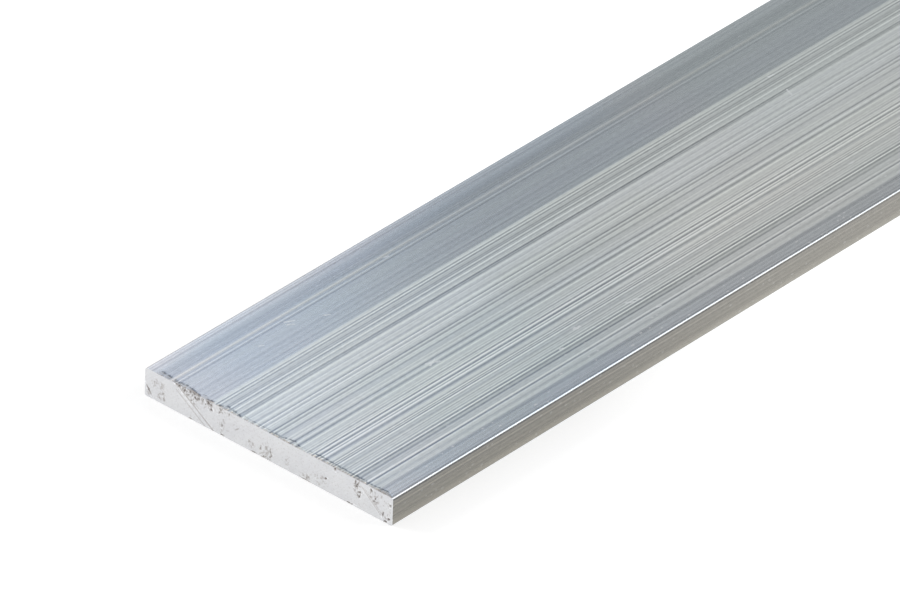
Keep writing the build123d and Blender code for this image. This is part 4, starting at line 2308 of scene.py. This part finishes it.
@dataclass(frozen=True)
class Studio:
    """The pale floor, the sky light round it and the lamps.

    Attributes:
        floor_size: the floor's side, in metres.
        floor_albedo: how much light the floor scatters.
        floor_glow: what it adds where it is seen or mirrored, so that it shows white.
        far_glow: the same, further along the bar and all round it.
        glow_along: the places along the bar between which the one becomes the other.
        glow_around: the distances from the middle of the bar between which it does.
        low_sky: the light's level near the horizon.
        high_sky: its level higher up.
        sky_heights: how high the one starts to fade, and how high it is the other.
        right_sky: its level on the right, as a share.
        sky_sides: how far to the right that starts, and how far over it is in full.
    """

    floor_size: float = 60.0
    floor_albedo: float = 0.6
    floor_glow: float = 0.62
    far_glow: float = 0.85
    glow_along: Pair = (-0.215, -0.15)
    glow_around: Pair = (0.42, 0.6)
    low_sky: float = 1.15
    high_sky: float = 0.52
    sky_heights: Pair = (0.1, 0.5)
    right_sky: float = 0.35
    sky_sides: Pair = (0.0, 0.7)

    def floor(self) -> bpy.types.Object:
        """Makes the floor, which keeps the bar's shadow.

        Returns:
            The floor's object.
        """
        mesh = bmesh.new()
        bmesh.ops.create_grid(mesh, x_segments=1, y_segments=1, size=0.5 * self.floor_size)
        floor = new_object("floor", mesh)
        material = bpy.data.materials.new("pale_floor")
        graph = Graph.emptied(material)
        albedo = (self.floor_albedo, self.floor_albedo, self.floor_albedo, 1.0)
        matte = graph.add("ShaderNodeBsdfDiffuse", {"Color": albedo})
        place = graph.object_place()
        y, off = graph.axes(place)["Y"], graph.vector("LENGTH", place)
        along = graph.ramp(y, *self.glow_along, self.floor_glow, self.far_glow)
        around = graph.ramp(off, *self.glow_around, self.floor_glow, self.far_glow)
        level = graph.math("MULTIPLY", self.seen(graph), graph.math("MAXIMUM", along, around))
        glow = graph.add("ShaderNodeEmission", {"Strength": level})
        both = graph.add("ShaderNodeAddShader")
        graph.feed_all(both, (matte.outputs["BSDF"], glow.outputs["Emission"]))
        graph.add("ShaderNodeOutputMaterial", {"Surface": both.outputs["Shader"]})
        floor.data.materials.append(material)
        return floor

    @staticmethod
    def seen(graph: Graph) -> Socket:
        """Tells the rays from the camera, a mirror or through glass from all the others.

        Args:
            graph: the material's graph.

        Returns:
            The socket of a mask: 1 on those rays.
        """
        rays = graph.add("ShaderNodeLightPath").outputs
        mirrored = graph.math("MAXIMUM", rays["Is Glossy Ray"], rays["Is Transmission Ray"])
        return graph.math("MAXIMUM", rays["Is Camera Ray"], mirrored)

    def sky(self) -> None:
        """Lights the scene from all round: bright low down, softer above, darker on the right."""
        world = bpy.data.worlds.new("studio_sky")
        graph = Graph.emptied(world)
        bpy.context.scene.world = world
        axes = graph.axes(graph.add("ShaderNodeTexCoord").outputs["Generated"])
        height = graph.ramp(axes["Z"], *self.sky_heights, self.low_sky, self.high_sky)
        side = graph.ramp(axes["X"], *self.sky_sides, 1.0, self.right_sky)
        level = graph.math("MULTIPLY", height, side)
        light = graph.add("ShaderNodeBackground", {"Color": WHITE, "Strength": level})
        white = graph.add("ShaderNodeBackground", {"Color": WHITE, "Strength": 1.0})
        rays = graph.add("ShaderNodeLightPath").outputs
        choice = graph.add("ShaderNodeMixShader")
        parts = (rays["Is Camera Ray"], light.outputs["Background"], white.outputs["Background"])
        graph.feed_all(choice, parts)
        graph.add("ShaderNodeOutputWorld", {"Surface": choice.outputs["Shader"]})

    def build(self, near_end: Vector) -> None:
        """Sets up the whole studio.

        Args:
            near_end: the middle of the near end's upper edge.
        """
        self.floor()
        self.sky()
        beside_end = near_end + Vector((-0.041, -0.03, 0.0))
        over_far_left = Vector((-0.543, 0.631, 0.554))
        cool_light = (0.63, 0.78, 1.0)
        lamps = (
            SoftBox("key_light", near_end, Vector((-0.8, -0.25, 0.5)), 1.5, 0.7, 4.0),
            SoftBox("edge_light", near_end, Vector((0.55, 0.63, 0.54)), 1.6, 1.1, 2.5),
            SoftBox("end_light", beside_end, over_far_left, 0.4, 0.12, 1.0, cool_light),
        )
        for lamp in lamps:
            lamp.build()


def main() -> None:
    """Builds the bar and its studio."""
    logging.basicConfig(level=logging.INFO, format="%(message)s")
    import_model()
    bpy.context.scene.view_settings.view_transform = "Standard"
    sizes = BarSizes.of_node(NODE)
    effects = Effects()
    materials = [MillSkin(sizes).build(effects), SawnFace().build(effects)]
    width, thickness = sizes.width / MM, sizes.thickness / MM
    lines = {
        Side.TOP: TOP_LINES + DieRandom(30, 0.5, width - 0.5, 4.0, 0.4, 0.2).lines(),
        Side.UNDERSIDE: DieRandom(31, 0.4, width - 0.4, 1.6, 0.9, 0.9).lines(),
        Side.LEFT: DieRandom(32, 0.4, thickness - 0.4, 6.0, 0.4, 0.3).lines(),
        Side.RIGHT: RIGHT_LINES_AND_PAINTED_LIGHT + DieRandom(33, 0.4, thickness - 0.4, 5.0, 0.4, 0.15).lines(),
    }
    cuts = {
        Side.NEAR_END: SawCut(NEAR_PITS, NEAR_PATCHES, NEAR_SCRATCHES, NEAR_BURRS, seed=7.0),
        Side.FAR_END: SawRandom(seed=19, across=width, up=thickness).cut(),
    }
    bar = FlatBar(sizes, lines, cuts).build(materials)
    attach(bar, "root")
    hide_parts(NODE)
    log.info("%s: %d faces", bar.name, len(bar.data.polygons))

    near_end = Vector((0.0, -0.5 * sizes.length, sizes.thickness))
    Studio().build(near_end)
    ViewCamera(
        aim=Vector((-4.209, -204.689, 5.111)) * MM,
        azimuth=40.69,
        elevation=33.629,
        roll=1.953,
        distance=2070.5 * MM,
        lens=547.96,
    ).build()


if __name__ == "__main__":
    main()
